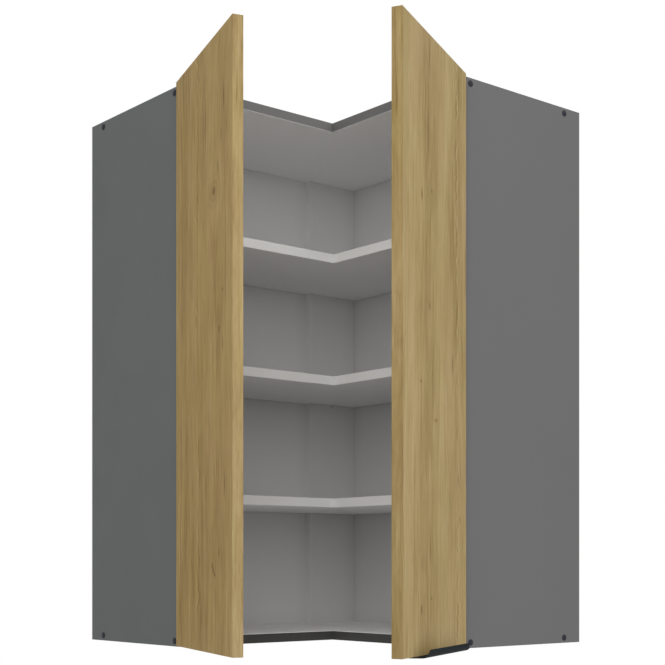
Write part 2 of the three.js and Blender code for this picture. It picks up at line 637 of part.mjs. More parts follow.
for (const [side, { flip, closedTurn, open }] of Object.entries(SIDES)) {
  add(`side_panel_${side}`, sidePanel(side), GRAPHITE, 0.6, 0);
  add(`back_panel_${side}`, backPanel(side), LIGHT_GREY, 0.6, 0);
  add(`hanger_housing_${side}`, hangerHousing(side), WHITE_PLASTIC, 0.45, 0);
  add(`hanger_hook_${side}`, hangerHook(side), STEEL, 0.35, 0.9);
  add(`wall_rail_${side}`, wallRail(side), STEEL, 0.4, 0.9);

  for (const [level, z] of Object.entries(SCREW_HEIGHTS)) {
    SCREW_OUTS.forEach((out, i) => addTurned(
      `screw_cap_${side}_${level}_${['back', 'front'][i]}`, screwCap(), alongLeg(side),
      onLeg(side, LEG, out, z), CAP_PLASTIC, 0.4, 0,
    ));
  }
  SHELF_TOPS.forEach((top, shelfIndex) => PIN_OUTS.forEach((out, i) => addTurned(
    `shelf_pin_${shelfIndex + 1}_${side}_${['back', 'front'][i]}`, shelfPin(), alongLeg(side),
    onLeg(side, SIDE_INNER + PIN_EMBEDDED - PIN_LENGTH, out, pinHeight(top)), STEEL, 0.3, 0.9,
  )));

  const fixed = pivotGroup(side, closedTurn);
  const door = pivotGroup(side, closedTurn + flip * THREE.MathUtils.degToRad(open));
  add(`door_${side}`, doorBoard(side), OAK, 0.55, 0, door);
  for (const [level, z] of Object.entries(HINGE_HEIGHTS)) {
    add(`hinge_cup_${side}_${level}`, hingeCup(side, z), STEEL, 0.3, 0.9, door);
    add(`hinge_plate_${side}_${level}`, hingePlate(side, z), STEEL, 0.3, 0.9, fixed);
    add(`hinge_arm_${side}_${level}`, hingeArm(side, z), STEEL, 0.3, 0.9, fixed);
    const link = new THREE.Mesh(hingeLink(), finish(STEEL, 0.3, 0.9));
    link.name = `hinge_link_${side}_${level}`;
    link.position.copy(doorPoint(side, EYE_ALONG, EYE_DEPTH, z));
    link.rotation.z = flip * THREE.MathUtils.degToRad(LINK_CLOSED_ANGLE + LINK_RATIO * open);
    fixed.add(link);
  }
  if (side === 'right') {
    add('door_pull', edgePull(side), BLACK_METAL, 0.4, 0.6, door);
  }
}

SHELF_TOPS.forEach((top, i) => addTurned(
  `shelf_pin_${i + 1}_post`, shelfPin(), onLeg('left', 0, 1, 0),
  onLeg('left', POST_MIDDLE, POST_FACE - PIN_EMBEDDED, pinHeight(top)), STEEL, 0.3, 0.9,
));

export default cabinet;
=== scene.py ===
# %% [markdown]
# # A corner wall cabinet with two open doors
#
# The real cabinet is an L-shaped carcass of 16 mm laminated chipboard. It is graphite outside and light
# grey inside, and it has three loose shelves and two doors in an oak pattern. The doors turn on concealed
# hinges, and the whole cabinet hangs on two wall rails.
#
# The solid model is already made. It gives every piece's size and place, in metres, with +Z up and the
# corner of the room at X = Y = 0. This lesson dresses it: each board gets its small edge radii and its
# laminate, each metal piece gets its sheen, and the screws are set by Geometry Nodes.

import json
import math

import bmesh
import bpy
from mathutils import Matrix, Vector


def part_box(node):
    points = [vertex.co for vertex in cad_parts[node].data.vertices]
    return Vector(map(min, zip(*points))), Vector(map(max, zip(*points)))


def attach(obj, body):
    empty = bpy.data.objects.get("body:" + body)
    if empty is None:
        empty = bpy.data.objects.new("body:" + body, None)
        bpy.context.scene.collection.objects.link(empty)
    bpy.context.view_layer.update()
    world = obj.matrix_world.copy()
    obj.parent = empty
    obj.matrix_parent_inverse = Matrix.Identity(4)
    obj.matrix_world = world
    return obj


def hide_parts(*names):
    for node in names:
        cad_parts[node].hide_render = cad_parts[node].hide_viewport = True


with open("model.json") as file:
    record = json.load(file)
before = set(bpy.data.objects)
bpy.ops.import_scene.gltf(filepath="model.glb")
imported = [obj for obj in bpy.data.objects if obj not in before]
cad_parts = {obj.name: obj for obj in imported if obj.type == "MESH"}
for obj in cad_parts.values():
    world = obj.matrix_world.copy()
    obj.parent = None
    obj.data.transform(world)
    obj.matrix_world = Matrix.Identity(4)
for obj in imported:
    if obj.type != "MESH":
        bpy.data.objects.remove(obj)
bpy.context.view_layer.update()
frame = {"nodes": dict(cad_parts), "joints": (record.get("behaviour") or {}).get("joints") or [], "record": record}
nodes = frame["nodes"]
body_of_node = {name: body for body, names in frame["record"]["behaviour"]["bodies"].items() for name in names}

# %% [markdown]
# ## The camera
#
# A wall cabinet is seen from below, yet its upright edges should look upright. A camera does that when it
# is held level and its lens is shifted up, as an architect's camera is. So the camera has no tilt here,
# stands almost level with the cabinet's underside, and its shift lifts the view.

# %% Camera
CAMERA_PLACE = (2.1185, -1.8128, 0.1348)
CAMERA_AZIMUTH = 50.19
LENS_MM = 74.1
SENSOR_MM = 36
SHIFT_UP = 0.3462
SHIFT_SIDE = -0.0007

camera_data = bpy.data.cameras.new("level_camera")
camera_data.sensor_width = SENSOR_MM
camera_data.lens = LENS_MM
camera_data.shift_y = SHIFT_UP
camera_data.shift_x = SHIFT_SIDE
camera = bpy.data.objects.new("level_camera", camera_data)
camera.location = CAMERA_PLACE
camera.rotation_euler = (math.radians(90), 0, math.radians(CAMERA_AZIMUTH))
bpy.context.scene.collection.objects.link(camera)
bpy.context.scene.camera = camera
print("camera at", CAMERA_PLACE)

# %% [markdown]
# ## Sizes that the finishing steps share
#
# The solids say where each piece is, so most places come from their boxes. A few sizes of the real
# cabinet are needed by name as well: the front of the carcass, the front of the shelves, and how far each
# door stands open. Masks and screws use them.

# %% Shared sizes, in metres
MM = 0.001
EDGE_BAND = 0.8 * MM
SKIN = 0.4 * MM
SIDE_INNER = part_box("side_panel_right")[0].x
SIDE_DEPTH = -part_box("side_panel_right")[0].y
PANEL_SETBACK = 1 * MM
SHELF_SETBACK = 21 * MM
PANEL_FRONT = SIDE_DEPTH - PANEL_SETBACK
SHELF_FRONT = SIDE_DEPTH - SHELF_SETBACK
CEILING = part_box("top_panel")[0].z
FLOOR_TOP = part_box("bottom_panel")[1].z
DOOR_ANGLES = {"left": -18.0, "right": 297.0}
print(f"side panels' inner faces at {SIDE_INNER:.4f} m, ceiling at {CEILING:.4f} m")


def door_axes(side):
    """The door's hinge edge on the floor plan, the way along the door, and the way out of its face."""
    joint = next(j for j in frame["joints"] if j["name"] == f"{side}_door_swing")
    turn = math.radians(DOOR_ANGLES[side])
    along = Vector((math.cos(turn), math.sin(turn), 0))
    outward = Vector((-along.y, along.x, 0)) * (1 if side == "right" else -1)
    return Vector((joint["pos_m"][0], joint["pos_m"][1], 0)), along, outward


for side in ("left", "right"):
    origin, along, outward = door_axes(side)
    print(side, "door:", [round(v, 4) for v in origin], "runs along", [round(v, 3) for v in along])

# %% [markdown]
# ## Building node trees in a few words
#
# Every finish below is a tree of shader nodes that reads the piece's Object coordinates. The pieces stay
# at the origin, so those coordinates are the cabinet's own metres, and a pattern keeps its real scale.
# A few small helpers keep the trees readable. They add a node, do one step of arithmetic, mix two
# colours, make a noise, or start a material with its shader already joined to the output.


# %% Shader node helpers
def put(tree, kind, inputs=None, **settings):
    """Adds a node, sets it up, and fills or links its inputs by name or number."""
    node = tree.nodes.new(kind)
    for name, value in settings.items():
        setattr(node, name, value)
    for name, value in (inputs or {}).items():
        socket = node.inputs[name]
        if isinstance(value, bpy.types.NodeSocket):
            tree.links.new(value, socket)
        else:
            socket.default_value = value
    return node


def math_node(tree, operation, a, b=0.5):
    return put(tree, "ShaderNodeMath", {0: a, 1: b}, operation=operation).outputs[0]


def add(tree, a, b):
    return math_node(tree, "ADD", a, b)


def subtract(tree, a, b):
    return math_node(tree, "SUBTRACT", a, b)


def multiply(tree, a, b):
    return math_node(tree, "MULTIPLY", a, b)


def times_plus(tree, value, factor, addend):
    """value x factor + addend."""
    return put(tree, "ShaderNodeMath", {0: value, 1: factor, 2: addend}, operation="MULTIPLY_ADD").outputs[0]


def point(tree, x=0.0, y=0.0, z=0.0):
    """A place, or a colour, from three values."""
    return put(tree, "ShaderNodeCombineXYZ", {0: x, 1: y, 2: z}).outputs[0]


def mix_colour(tree, factor, a, b, blend="MIX"):
    node = put(tree, "ShaderNodeMix", {0: factor, 6: a, 7: b}, data_type="RGBA", blend_type=blend)
    return node.outputs[2]


print("arithmetic and colour helpers are ready")

# %% Materials, noises and relief
SHEEN_LEVEL = 0.15


def start_material(name, roughness, metallic=0.0):
    material = bpy.data.materials.new(name)
    material.use_nodes = True
    tree = material.node_tree
    tree.nodes.clear()
    shader = put(tree, "ShaderNodeBsdfPrincipled", {"Roughness": roughness, "Metallic": metallic})
    shader.inputs["Specular IOR Level"].default_value = SHEEN_LEVEL
    output = tree.nodes.new("ShaderNodeOutputMaterial")
    tree.links.new(shader.outputs[0], output.inputs["Surface"])
    place = tree.nodes.new("ShaderNodeTexCoord").outputs["Object"]
    return material, tree, shader, place


def noise(tree, place, scale, detail=2.0, roughness=0.5, stretch=(1, 1, 1), offset=(0, 0, 0)):
    """A noise between 0 and 1. Its cells are about 1/scale metres wide, longer where stretch is below 1."""
    placed = put(tree, "ShaderNodeMapping", {"Vector": place, "Scale": stretch, "Location": offset})
    inputs = {"Vector": placed.outputs[0], "Scale": scale, "Detail": detail, "Roughness": roughness}
    return put(tree, "ShaderNodeTexNoise", inputs).outputs[0]


def spread(tree, value, low, high, new_low=0.0, new_high=1.0):
    """Stretches the range from low to high over a new range, and cuts off what lies outside it."""
    inputs = {"Value": value, "From Min": low, "From Max": high, "To Min": new_low, "To Max": new_high}
    return put(tree, "ShaderNodeMapRange", inputs).outputs[0]


def bump(tree, shader, height, strength, distance, under=None):
    node = put(tree, "ShaderNodeBump", {"Height": height, "Strength": strength, "Distance": distance})
    if under is not None:
        tree.links.new(under, node.inputs["Normal"])
    tree.links.new(node.outputs[0], shader.inputs["Normal"])
    return node.outputs[0]


def paint(tree, shader, colour, roughness):
    """Joins a colour and a roughness that vary over the piece to its shader."""
    tree.links.new(colour, shader.inputs["Base Color"])
    tree.links.new(roughness, shader.inputs["Roughness"])


def rgba(red, green, blue):
    return (red, green, blue, 1.0)


print("a finish starts with a specular level of", SHEEN_LEVEL)

# %% [markdown]
# ## Laminated board
#
# The carcass is chipboard with printed paper pressed on both faces under resin. The press plate leaves a
# fine pearl texture, with grains under a millimetre across, which breaks up the shine. The narrow edges
# are covered with a plastic band, while the edges that face the wall stay raw, with the chips showing.
# One function builds every such board: a ground colour, then patches, each bounded by planes. Inside the
# cabinet the inner faces also carry a faint painted shade towards their corners, where the light falls off.

# %% Colours of the boards
GRAPHITE = rgba(0.127, 0.132, 0.131)
# The side boards are one graphite, painted apart: the right one lighter and the left one darker, as painted light
# and shade.
GRAPHITE_SHADED_LEFT = rgba(0.116, 0.1235, 0.1225)
GRAPHITE_LIT_RIGHT = rgba(0.136, 0.136, 0.138)
GRAPHITE_BAND = rgba(0.150, 0.149, 0.148)
# The bottom board's front band is painted far darker than the top's: painted shade for the dim well between the
# doors.
SHADED_BOTTOM_BAND = rgba(0.066, 0.066, 0.063)
LIGHT_GREY = rgba(0.765, 0.762, 0.766)
# Ceiling, carcass floor and shelf undersides are painted lighter than the walls: painted light where the lamps
# bring too little.
LIGHT_GREY_PAINTED_LIGHTER = rgba(0.97, 0.967, 0.967)
POST_GREY = rgba(0.715, 0.711, 0.713)
POST_BAND = rgba(0.755, 0.751, 0.753)
LIP_GREY = rgba(0.58, 0.577, 0.576)
SHELF_GREY = rgba(0.82, 0.817, 0.817)
SHELF_UNDERSIDE_PAINTED_LIGHTER = rgba(0.92, 0.917, 0.918)
SHELF_BAND = rgba(0.885, 0.885, 0.887)
# Painted shade for the inner corner of the shelves' front bands.
JOINT_SHADE_GREY = rgba(0.80, 0.799, 0.80)
CHIP_DARK, CHIP_LIGHT = rgba(0.34, 0.225, 0.12), rgba(0.52, 0.38, 0.235)
CHIP_GAP = rgba(0.20, 0.125, 0.065)
RAW = "raw"
X, Y, Z = 0, 1, 2
# The painted shade in the inner corners: how far it reaches, and how deep it is under each board and on the floor.
PAINTED_SHADE_REACH = 35 * MM
PAINTED_SHADE_UNDER = {"shelf_1": 0.03, "shelf_2": 0.09, "shelf_3": 0.12, "top_panel": 0.12}
PAINTED_SHADE_LEVELS = [(Z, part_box(name)[0].z, depth) for name, depth in PAINTED_SHADE_UNDER.items()]
PAINTED_SHADE_LEVELS.append((Z, FLOOR_TOP, 0.08))
print("boards: graphite", GRAPHITE[:3], "outside and light grey", LIGHT_GREY[:3], "inside")


# %% Chips, planes and clouds
def raw_chipboard(tree, place):
    """Pressed wood chips: flat flakes of several browns with dark gaps between them."""
    flakes = put(tree, "ShaderNodeTexVoronoi", {"Vector": place, "Scale": 420.0}, feature="F1")
    shade = put(tree, "ShaderNodeSeparateColor", {0: flakes.outputs["Color"]}).outputs[0]
    wood = mix_colour(tree, shade, CHIP_DARK, CHIP_LIGHT)
    gaps = spread(tree, noise(tree, place, 900, 4), 0.35, 0.45)
    return mix_colour(tree, gaps, CHIP_GAP, wood)


def inside_planes(tree, place, planes):
    """1 where every plane holds. A plane is an axis, 'over' or 'under', and a limit in metres."""
    axes = put(tree, "ShaderNodeSeparateXYZ", {0: place}).outputs
    result = None
    for axis, way, limit in planes:
        operation = "GREATER_THAN" if way == "over" else "LESS_THAN"
        held = math_node(tree, operation, axes[axis], limit)
        result = held if result is None else multiply(tree, result, held)
    return result


def tinted(tree, colour, strength):
    """A colour made lighter or darker by a strength that varies over the piece."""
    return mix_colour(tree, 1.0, colour, point(tree, strength, strength, strength), "MULTIPLY")


def clouds_and_painted_shade(tree, place, colour, corners=()):
    """A printed tone with faint clouds, and a painted shade towards each corner: (axis, place, depth)."""
    strength = spread(tree, noise(tree, place, 2.2, 3), 0.3, 0.7, 0.985, 1.015)
    axes = put(tree, "ShaderNodeSeparateXYZ", {0: place}).outputs
    for axis, limit, depth in corners:
        away = math_node(tree, "ABSOLUTE", subtract(tree, axes[axis], limit))
        near = math_node(tree, "POWER", spread(tree, away, 0, PAINTED_SHADE_REACH, 1, 0), 2.0)
        strength = multiply(tree, strength, spread(tree, near, 0, 1, 1, 1 - depth))
    return tinted(tree, colour, strength)


print(f"corner shade reaches {PAINTED_SHADE_REACH:.3f} m along a face")


# %% One function for every board
def laminate(name, ground, patches=(), corners=()):
    """A board's finish. Each patch is (its planes, its colour or RAW), and a later one lies over the rest."""
    material, tree, shader, place = start_material(name, 0.5)
    colour = clouds_and_painted_shade(tree, place, ground, corners)
    raw = None
    for planes, finish in patches:
        held = inside_planes(tree, place, planes)
        if finish is RAW:
            raw = held if raw is None else math_node(tree, "MAXIMUM", raw, held)
            finish = raw_chipboard(tree, place)
        colour = mix_colour(tree, held, colour, finish)
    rub = spread(tree, noise(tree, place, 14, 4), 0.3, 0.75, 0.50, 0.60)
    paint(tree, shader, colour, rub)
    grain = noise(tree, place, 1100, 2)
    relief = bump(tree, shader, grain, 0.25, 0.0002)
    if raw is not None:
        chips = multiply(tree, noise(tree, place, 500, 5), raw)
        bump(tree, shader, chips, 0.8, 0.0008, relief)
    return material


SHELF_EDGE = [(X, "over", SHELF_FRONT - EDGE_BAND), (Y, "under", -SHELF_FRONT + EDGE_BAND)]
# Where a shelf's two bands meet in the inner corner, a narrow strip is painted slightly greyer: a painted shade
# that evens out the light the two bands throw on each other.
JOINT_SHADE_WIDTH = 2.2 * MM
SHELF_JOINT_SHADE = [*SHELF_EDGE, (X, "under", SHELF_FRONT + JOINT_SHADE_WIDTH), (Y, "over", -SHELF_FRONT - JOINT_SHADE_WIDTH)]
INSIDE_TOP = (Z, "under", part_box("side_panel_right")[1].z - EDGE_BAND)
INSIDE_RIGHT = ([(X, "under", SIDE_INNER + SKIN), (Y, "over", -SIDE_DEPTH + EDGE_BAND), INSIDE_TOP], LIGHT_GREY)
INSIDE_LEFT = ([(Y, "over", -SIDE_INNER - SKIN), (X, "under", SIDE_DEPTH - EDGE_BAND), INSIDE_TOP], LIGHT_GREY)
WALL_EDGE_RIGHT = ([(Y, "over", -SKIN)], RAW)
WALL_EDGE_LEFT = ([(X, "under", SKIN)], RAW)
FRONT = [(X, "over", PANEL_FRONT - EDGE_BAND), (Y, "under", -PANEL_FRONT + EDGE_BAND)]
print("laminate patches are bounded at", round(PANEL_FRONT - EDGE_BAND, 4))

# %% [markdown]
# ## Oak pattern on the doors
#
# The doors are laminated board too, printed with straight-grained oak that runs upright. Such a print has
# three scales: wide bands where the board was cut across the year rings, finer streaks inside them, and
# pores, which are short dark dashes a few millimetres long. All three are noises stretched along the
# grain. They are drawn in the door's own axes, so that the pattern lies along the board however the door
# stands. Each door has its own start values, and the left one has a small knot.


# %% Oak colours and sizes
OAK_DARK = rgba(0.265, 0.184, 0.073)
OAK_MEAN = rgba(0.390, 0.289, 0.132)
OAK_LIGHT = rgba(0.473, 0.369, 0.186)
GREENER = rgba(0.99, 1.003, 0.965)
ROSIER = rgba(1.015, 0.995, 1.04)
PORE_BROWN = rgba(0.19, 0.125, 0.05)
RING_BROWN = rgba(0.17, 0.105, 0.040)
HEART_BROWN = rgba(0.10, 0.062, 0.025)
CHECK_BROWN = rgba(0.13, 0.085, 0.035)
MATT_LEVEL = 0.02
FOIL_END = 1.2 * MM
WAVE = 6 * MM
LINE_GAP = 7 * MM
LIGHT_LINE, DARK_LINE = 4.5 * MM, 6 * MM
DRIFT, WAVER, RAGGED = 12 * MM, 4 * MM, 1.5 * MM
print("oak from dark to light:", OAK_DARK[:3], OAK_MEAN[:3], OAK_LIGHT[:3])


# %% The lie of the grain
def grain_bands(tree, across, stops):
    """Wide upright bands: a ramp across the door from dark (0) to light (1)."""
    ramp = tree.nodes.new("ShaderNodeValToRGB")
    ramp.color_ramp.interpolation = "EASE"
    elements = ramp.color_ramp.elements
    for place, _ in stops[2:]:
        elements.new(place)
    for element, (place, level) in zip(elements, sorted(stops)):
        element.position = place
        element.color = (level, level, level, 1)
    tree.links.new(across, ramp.inputs[0])
    return ramp.outputs[0]


def distance_from(tree, across, height, centre, flatten):
    """Metres from a point on the door, with the upright distance multiplied by flatten."""
    dx = subtract(tree, across, centre[0])
    dz = multiply(tree, subtract(tree, height, centre[1]), flatten)
    squares = add(tree, multiply(tree, dx, dx), multiply(tree, dz, dz))
    return dx, math_node(tree, "SQRT", squares)


def door_place(tree, place, side):
    """A place in the door's own axes: X across it from its hinge edge, and Z up."""
    turn = (0, 0, math.radians(DOOR_ANGLES[side]))
    inputs = {"Vector": place, "Location": door_axes(side)[0], "Rotation": turn}
    return put(tree, "ShaderNodeMapping", inputs, vector_type="TEXTURE").outputs[0]


def grain_across(tree, own, axes, start, knots):
    """The way across the door, bent as grain is: it drifts, wavers, and parts around each knot."""
    drift = noise(tree, own, 3.0, 2, 0.5, (1, 1, 0.5), (start, 0, start))
    waver = noise(tree, own, 14.0, 2, 0.5, (1, 1, 0.45), (start, 0, start))
    slow = spread(tree, drift, 0.2, 0.8, -DRIFT, DRIFT)
    bend = add(tree, slow, spread(tree, waver, 0.2, 0.8, -WAVER, WAVER))
    across = add(tree, axes[0], bend)
    for x, z, size in knots:
        dx, far = distance_from(tree, axes[0], axes[2], (x, z), 0.45)
        pull = spread(tree, far, 0.0, 1.6 * size, 0.85, 0.0)
        across = subtract(tree, across, multiply(tree, pull, dx))
    return across, waver


print(f"grain drifts by {DRIFT:.3f} m and wavers by {WAVER:.3f} m to each side")


# %% The tones of the grain
def grain_tone(tree, grained, wide, streaks, threads, contrast, start):
    """How light the grain is, about a middle of 0.5: wide bands, clouds, streaks, flecks and threads."""
    clouds = noise(tree, grained, 22, 3, 0.6, (1, 1, 0.22), (start, 0, start))
    flecks = noise(tree, grained, 230, 2, 0.6, (1, 1, 0.11), (start, start, start))
    tone = times_plus(tree, wide, 0.42, 0.29)
    # The streaks come and go along the board, so that calm stretches lie between lively ones.
    mood = noise(tree, grained, 60, 1, 0.5, (1, 1, 0.12), (0, start, 2 * start))
    lively = spread(tree, mood, 0.38, 0.62, 0.1, 1.5)
    layers = ((clouds, 0.26, None), (streaks, 0.30, lively), (flecks, 0.20, None), (threads, 0.20, lively))
    for layer, depth, gate in layers:
        swing = spread(tree, layer, 0.25, 0.75, -depth * contrast, depth * contrast)
        tone = add(tree, tone, swing if gate is None else multiply(tree, swing, gate))
    return tone


def wavy_line(tree, own, across, flame, start):
    """One line of fine waves with a darker one beside it, where the saw ran along a growth ring."""
    ripple = noise(tree, own, 30, 1, 0.6, (0.3, 1, 2.2), (start, 0, 0))
    off = subtract(tree, add(tree, across, spread(tree, ripple, 0.25, 0.75, -WAVE, WAVE)), flame)
    beside = math_node(tree, "ABSOLUTE", subtract(tree, off, LINE_GAP))
    light_line = spread(tree, math_node(tree, "ABSOLUTE", off), 0.0, LIGHT_LINE, 0.40, 0.0)
    dark_line = spread(tree, beside, 0.0, DARK_LINE, 0.36, 0.0)
    shown = spread(tree, noise(tree, own, 24, 1, 0.5, (0.1, 1, 1), (0, 0, start)), 0.4, 0.6, 0.1, 1.0)
    return multiply(tree, subtract(tree, light_line, dark_line), shown)


def knots_and_marks(tree, colour, axes, waver, knots, marks):
    """Lays rings and a dark heart at each knot, then short dark marks: small checks and pin knots."""
    for x, z, size in knots:
        _, far = distance_from(tree, axes[0], axes[2], (x, z), 1.25)
        rings = math_node(tree, "SINE", multiply(tree, far, math.tau / (0.45 * size)))
        ringed = spread(tree, rings, -1, 1, 0.25, 1.0)
        near = multiply(tree, spread(tree, far, 0.2 * size, 1.3 * size, 1.0, 0.0), ringed)
        colour = mix_colour(tree, multiply(tree, near, 0.42), colour, RING_BROWN)
        heart = spread(tree, far, 0.1 * size, 0.42 * size, 0.45, 0.0)
        colour = mix_colour(tree, heart, colour, HEART_BROWN)
    ragged = add(tree, axes[0], spread(tree, waver, 0.2, 0.8, -RAGGED, RAGGED))
    for x, z, half_width, half_length, depth in marks:
        _, far = distance_from(tree, ragged, axes[2], (x, z), half_width / half_length)
        mark = spread(tree, far, 0.2 * half_width, half_width, 1.25 * depth, 0.0)
        colour = mix_colour(tree, mark, colour, CHECK_BROWN)
    return colour


print(f"a wavy line's dark neighbour lies {LINE_GAP:.3f} m from it")


# %% The oak print
def oak(name, side, width, start, bands, contrast, flame, end_tone_and_shade, painted_face_shade=(1, 1, 1), knots=(), marks=()):
    """Oak print for one door. Knots are (across, height, size) and marks are (across, height, half width,
    half length, depth), in millimetres but for the depth. Flame is how far across one line of fine waves
    runs. Start shifts every noise."""
    knots = [[value * MM for value in knot] for knot in knots]
    marks = [[*(value * MM for value in mark[:-1]), mark[-1]] for mark in marks]
    material, tree, shader, place = start_material(name, 0.5)
    shader.inputs["Specular IOR Level"].default_value = MATT_LEVEL
    own = door_place(tree, place, side)
    axes = put(tree, "ShaderNodeSeparateXYZ", {0: own}).outputs
    across, waver = grain_across(tree, own, axes, start, knots)
    grained = point(tree, across, axes[1], axes[2])
    wide = grain_bands(tree, math_node(tree, "DIVIDE", across, width), bands)
    streaks = noise(tree, grained, 110, 3, 0.6, (1, 1, 0.022), (start, start, 0))
    threads = noise(tree, grained, 480, 3, 0.6, (1, 1, 0.02), (0, start, start))
    tone = grain_tone(tree, grained, wide, streaks, threads, contrast, start)
    # The free upright end has its own strip of edge foil, from another roll.
    end = math_node(tree, "GREATER_THAN", axes[0], width - FOIL_END)
    calm = spread(tree, end, 0, 1, 1.0, 1.15 / contrast)
    tone = add(tree, multiply(tree, subtract(tree, tone, 0.5), calm), 0.5)
    tone = add(tree, tone, wavy_line(tree, own, across, flame, start))
    low = mix_colour(tree, spread(tree, tone, 0.0, 0.5), OAK_DARK, OAK_MEAN)
    colour = mix_colour(tree, spread(tree, tone, 0.5, 1.0), low, OAK_LIGHT)
    # Oak is never one hue: some stretches are a little rosier, others a little greener.
    hue = noise(tree, grained, 16, 2, 0.5, (1, 1, 0.3), (2 * start, 0, start))
    cast = mix_colour(tree, spread(tree, hue, 0.35, 0.65), GREENER, ROSIER)
    colour = mix_colour(tree, 1.0, colour, cast, "MULTIPLY")
    dashes = spread(tree, noise(tree, grained, 1500, 2, 0.5, (1, 1, 0.05), (start, 0, 0)), 0.62, 0.70)
    colour = mix_colour(tree, multiply(tree, dashes, 0.30), colour, PORE_BROWN)
    colour = knots_and_marks(tree, colour, axes, waver, knots, marks)
    # The left door's face tint is painted shade, and each end strip's tint is partly the foil's own tone and
    # partly painted shade, fitted door by door.
    tint = mix_colour(tree, end, rgba(*painted_face_shade), rgba(*end_tone_and_shade))
    colour = put(tree, "ShaderNodeVectorMath", {0: colour, 1: tint}, operation="MULTIPLY").outputs[0]
    paint(tree, shader, colour, spread(tree, streaks, 0.2, 0.8, 0.44, 0.56))
    ground = bump(tree, shader, threads, 0.35, 0.0002)
    bump(tree, shader, subtract(tree, 1.0, dashes), 0.5, 0.0001, ground)
    return material


print("the oak's specular level is", MATT_LEVEL)

# %% [markdown]
# ## Metals, plastics and the thin back
#
# Pressed steel hinge parts are nickel plated and show fine brushing along their length. Rails and hooks
# are zinc plated, which leaves a faint cloudy crystal pattern. The pull is powder coated, so it has a
# very fine orange peel. Plastics have a slight moulded texture. The backs are thin hardboard, lacquered
# light grey on the room side and bare brown fibre on the wall side.


# %% Metals
def plated(name, colour, base_roughness, streak):
    material, tree, shader, place = start_material(name, base_roughness, 1.0)
    lines = noise(tree, place, 1400, 2, 0.5, streak)
    cloud = noise(tree, place, 60, 3)
    shade = spread(tree, cloud, 0.3, 0.7, 0.90, 1.05)
    worn = spread(tree, lines, 0.3, 0.7, base_roughness - 0.04, base_roughness + 0.06)
    paint(tree, shader, tinted(tree, colour, shade), worn)
    bump(tree, shader, lines, 0.06, 0.0001)
    return material


def zinc(name, low=rgba(0.50, 0.51, 0.52), high=rgba(0.66, 0.67, 0.68), metallic=1.0):
    material, tree, shader, place = start_material(name, 0.4, metallic)
    crystals = put(tree, "ShaderNodeTexVoronoi", {"Vector": place, "Scale": 160.0}, feature="F1")
    shade = put(tree, "ShaderNodeSeparateColor", {0: crystals.outputs["Color"]}).outputs[0]
    paint(tree, shader, mix_colour(tree, shade, low, high), spread(tree, shade, 0, 1, 0.32, 0.48))
    bump(tree, shader, noise(tree, place, 700, 3), 0.10, 0.0001)
    return material


NICKEL = plated("nickel_plate", rgba(0.60, 0.575, 0.53), 0.30, (0.06, 0.06, 1))
ZINC = zinc("zinc_plate")
PIN_ZINC = zinc("pale_zinc_pins", rgba(0.70, 0.70, 0.69), rgba(0.80, 0.80, 0.79), 0.25)
print("metals:", NICKEL.name, ZINC.name, PIN_ZINC.name)


# %% Coats and plastics
def coated(name, colour, roughness, cell, relief, sheen=SHEEN_LEVEL):
    """Powder coat or moulded plastic: one colour with faint clouds, and a fine skin texture."""
    material, tree, shader, place = start_material(name, roughness)
    shader.inputs["Specular IOR Level"].default_value = sheen
    cloud = spread(tree, noise(tree, place, 30, 3), 0.3, 0.7, 0.88, 1.12)
    skin = noise(tree, place, 1 / cell, 2)
    worn = spread(tree, skin, 0.3, 0.7, roughness - 0.06, roughness + 0.06)
    paint(tree, shader, tinted(tree, colour, cloud), worn)
    bump(tree, shader, skin, relief, cell / 8)
    return material


BLACK_COAT = coated("black_powder_coat", rgba(0.014, 0.018, 0.020), 0.6, 0.0006, 0.25, 0.02)
DARK_PLASTIC = coated("dark_cap_plastic", rgba(0.028, 0.028, 0.038), 0.45, 0.0004, 0.2, 0.08)
WHITE_PLASTIC = coated("white_housing_plastic", rgba(0.74, 0.74, 0.71), 0.42, 0.0005, 0.2)
print("coats and plastics:", BLACK_COAT.name, DARK_PLASTIC.name, WHITE_PLASTIC.name)


# %% Hardboard
def hardboard(name, wall_side, lacquer_colour, corners):
    material, tree, shader, place = start_material(name, 0.6)
    fibre = noise(tree, place, 260, 5, 0.7)
    brown = mix_colour(tree, fibre, rgba(0.17, 0.095, 0.045), rgba(0.33, 0.205, 0.11))
    lacquer = clouds_and_painted_shade(tree, place, lacquer_colour, corners)
    bare = inside_planes(tree, place, wall_side)
    paint(tree, shader, mix_colour(tree, bare, lacquer, brown), spread(tree, bare, 0, 1, 0.5, 0.85))
    bump(tree, shader, fibre, 0.3, 0.0002)
    return material


BACK_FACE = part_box("back_panel_right")[1].y
POST_LOW, POST_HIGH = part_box("corner_post")
# The backs' light faces carry painted shade under each board, on the floor and beside the corner plank.
RIGHT_PAINTED_SHADE = [*PAINTED_SHADE_LEVELS, (X, POST_HIGH.x, 0.06)]
LEFT_PAINTED_SHADE = [*PAINTED_SHADE_LEVELS, (Y, POST_LOW.y, 0.09)]
HARDBOARD_RIGHT = hardboard("hardboard_right", [(Y, "over", BACK_FACE - SKIN)], POST_GREY, RIGHT_PAINTED_SHADE)
HARDBOARD_LEFT = hardboard("hardboard_left", [(X, "under", -BACK_FACE + SKIN)], LIGHT_GREY, LEFT_PAINTED_SHADE)
print("hardboard:", HARDBOARD_RIGHT.name, HARDBOARD_LEFT.name)

# %% Outer boards
# Painted light on the right board and painted shade on the left one.
SIDE_RIGHT = laminate("side_board_right", GRAPHITE_LIT_RIGHT, [INSIDE_RIGHT, WALL_EDGE_RIGHT])
SIDE_LEFT = laminate("side_board_left", GRAPHITE_SHADED_LEFT, [INSIDE_LEFT, WALL_EDGE_LEFT])
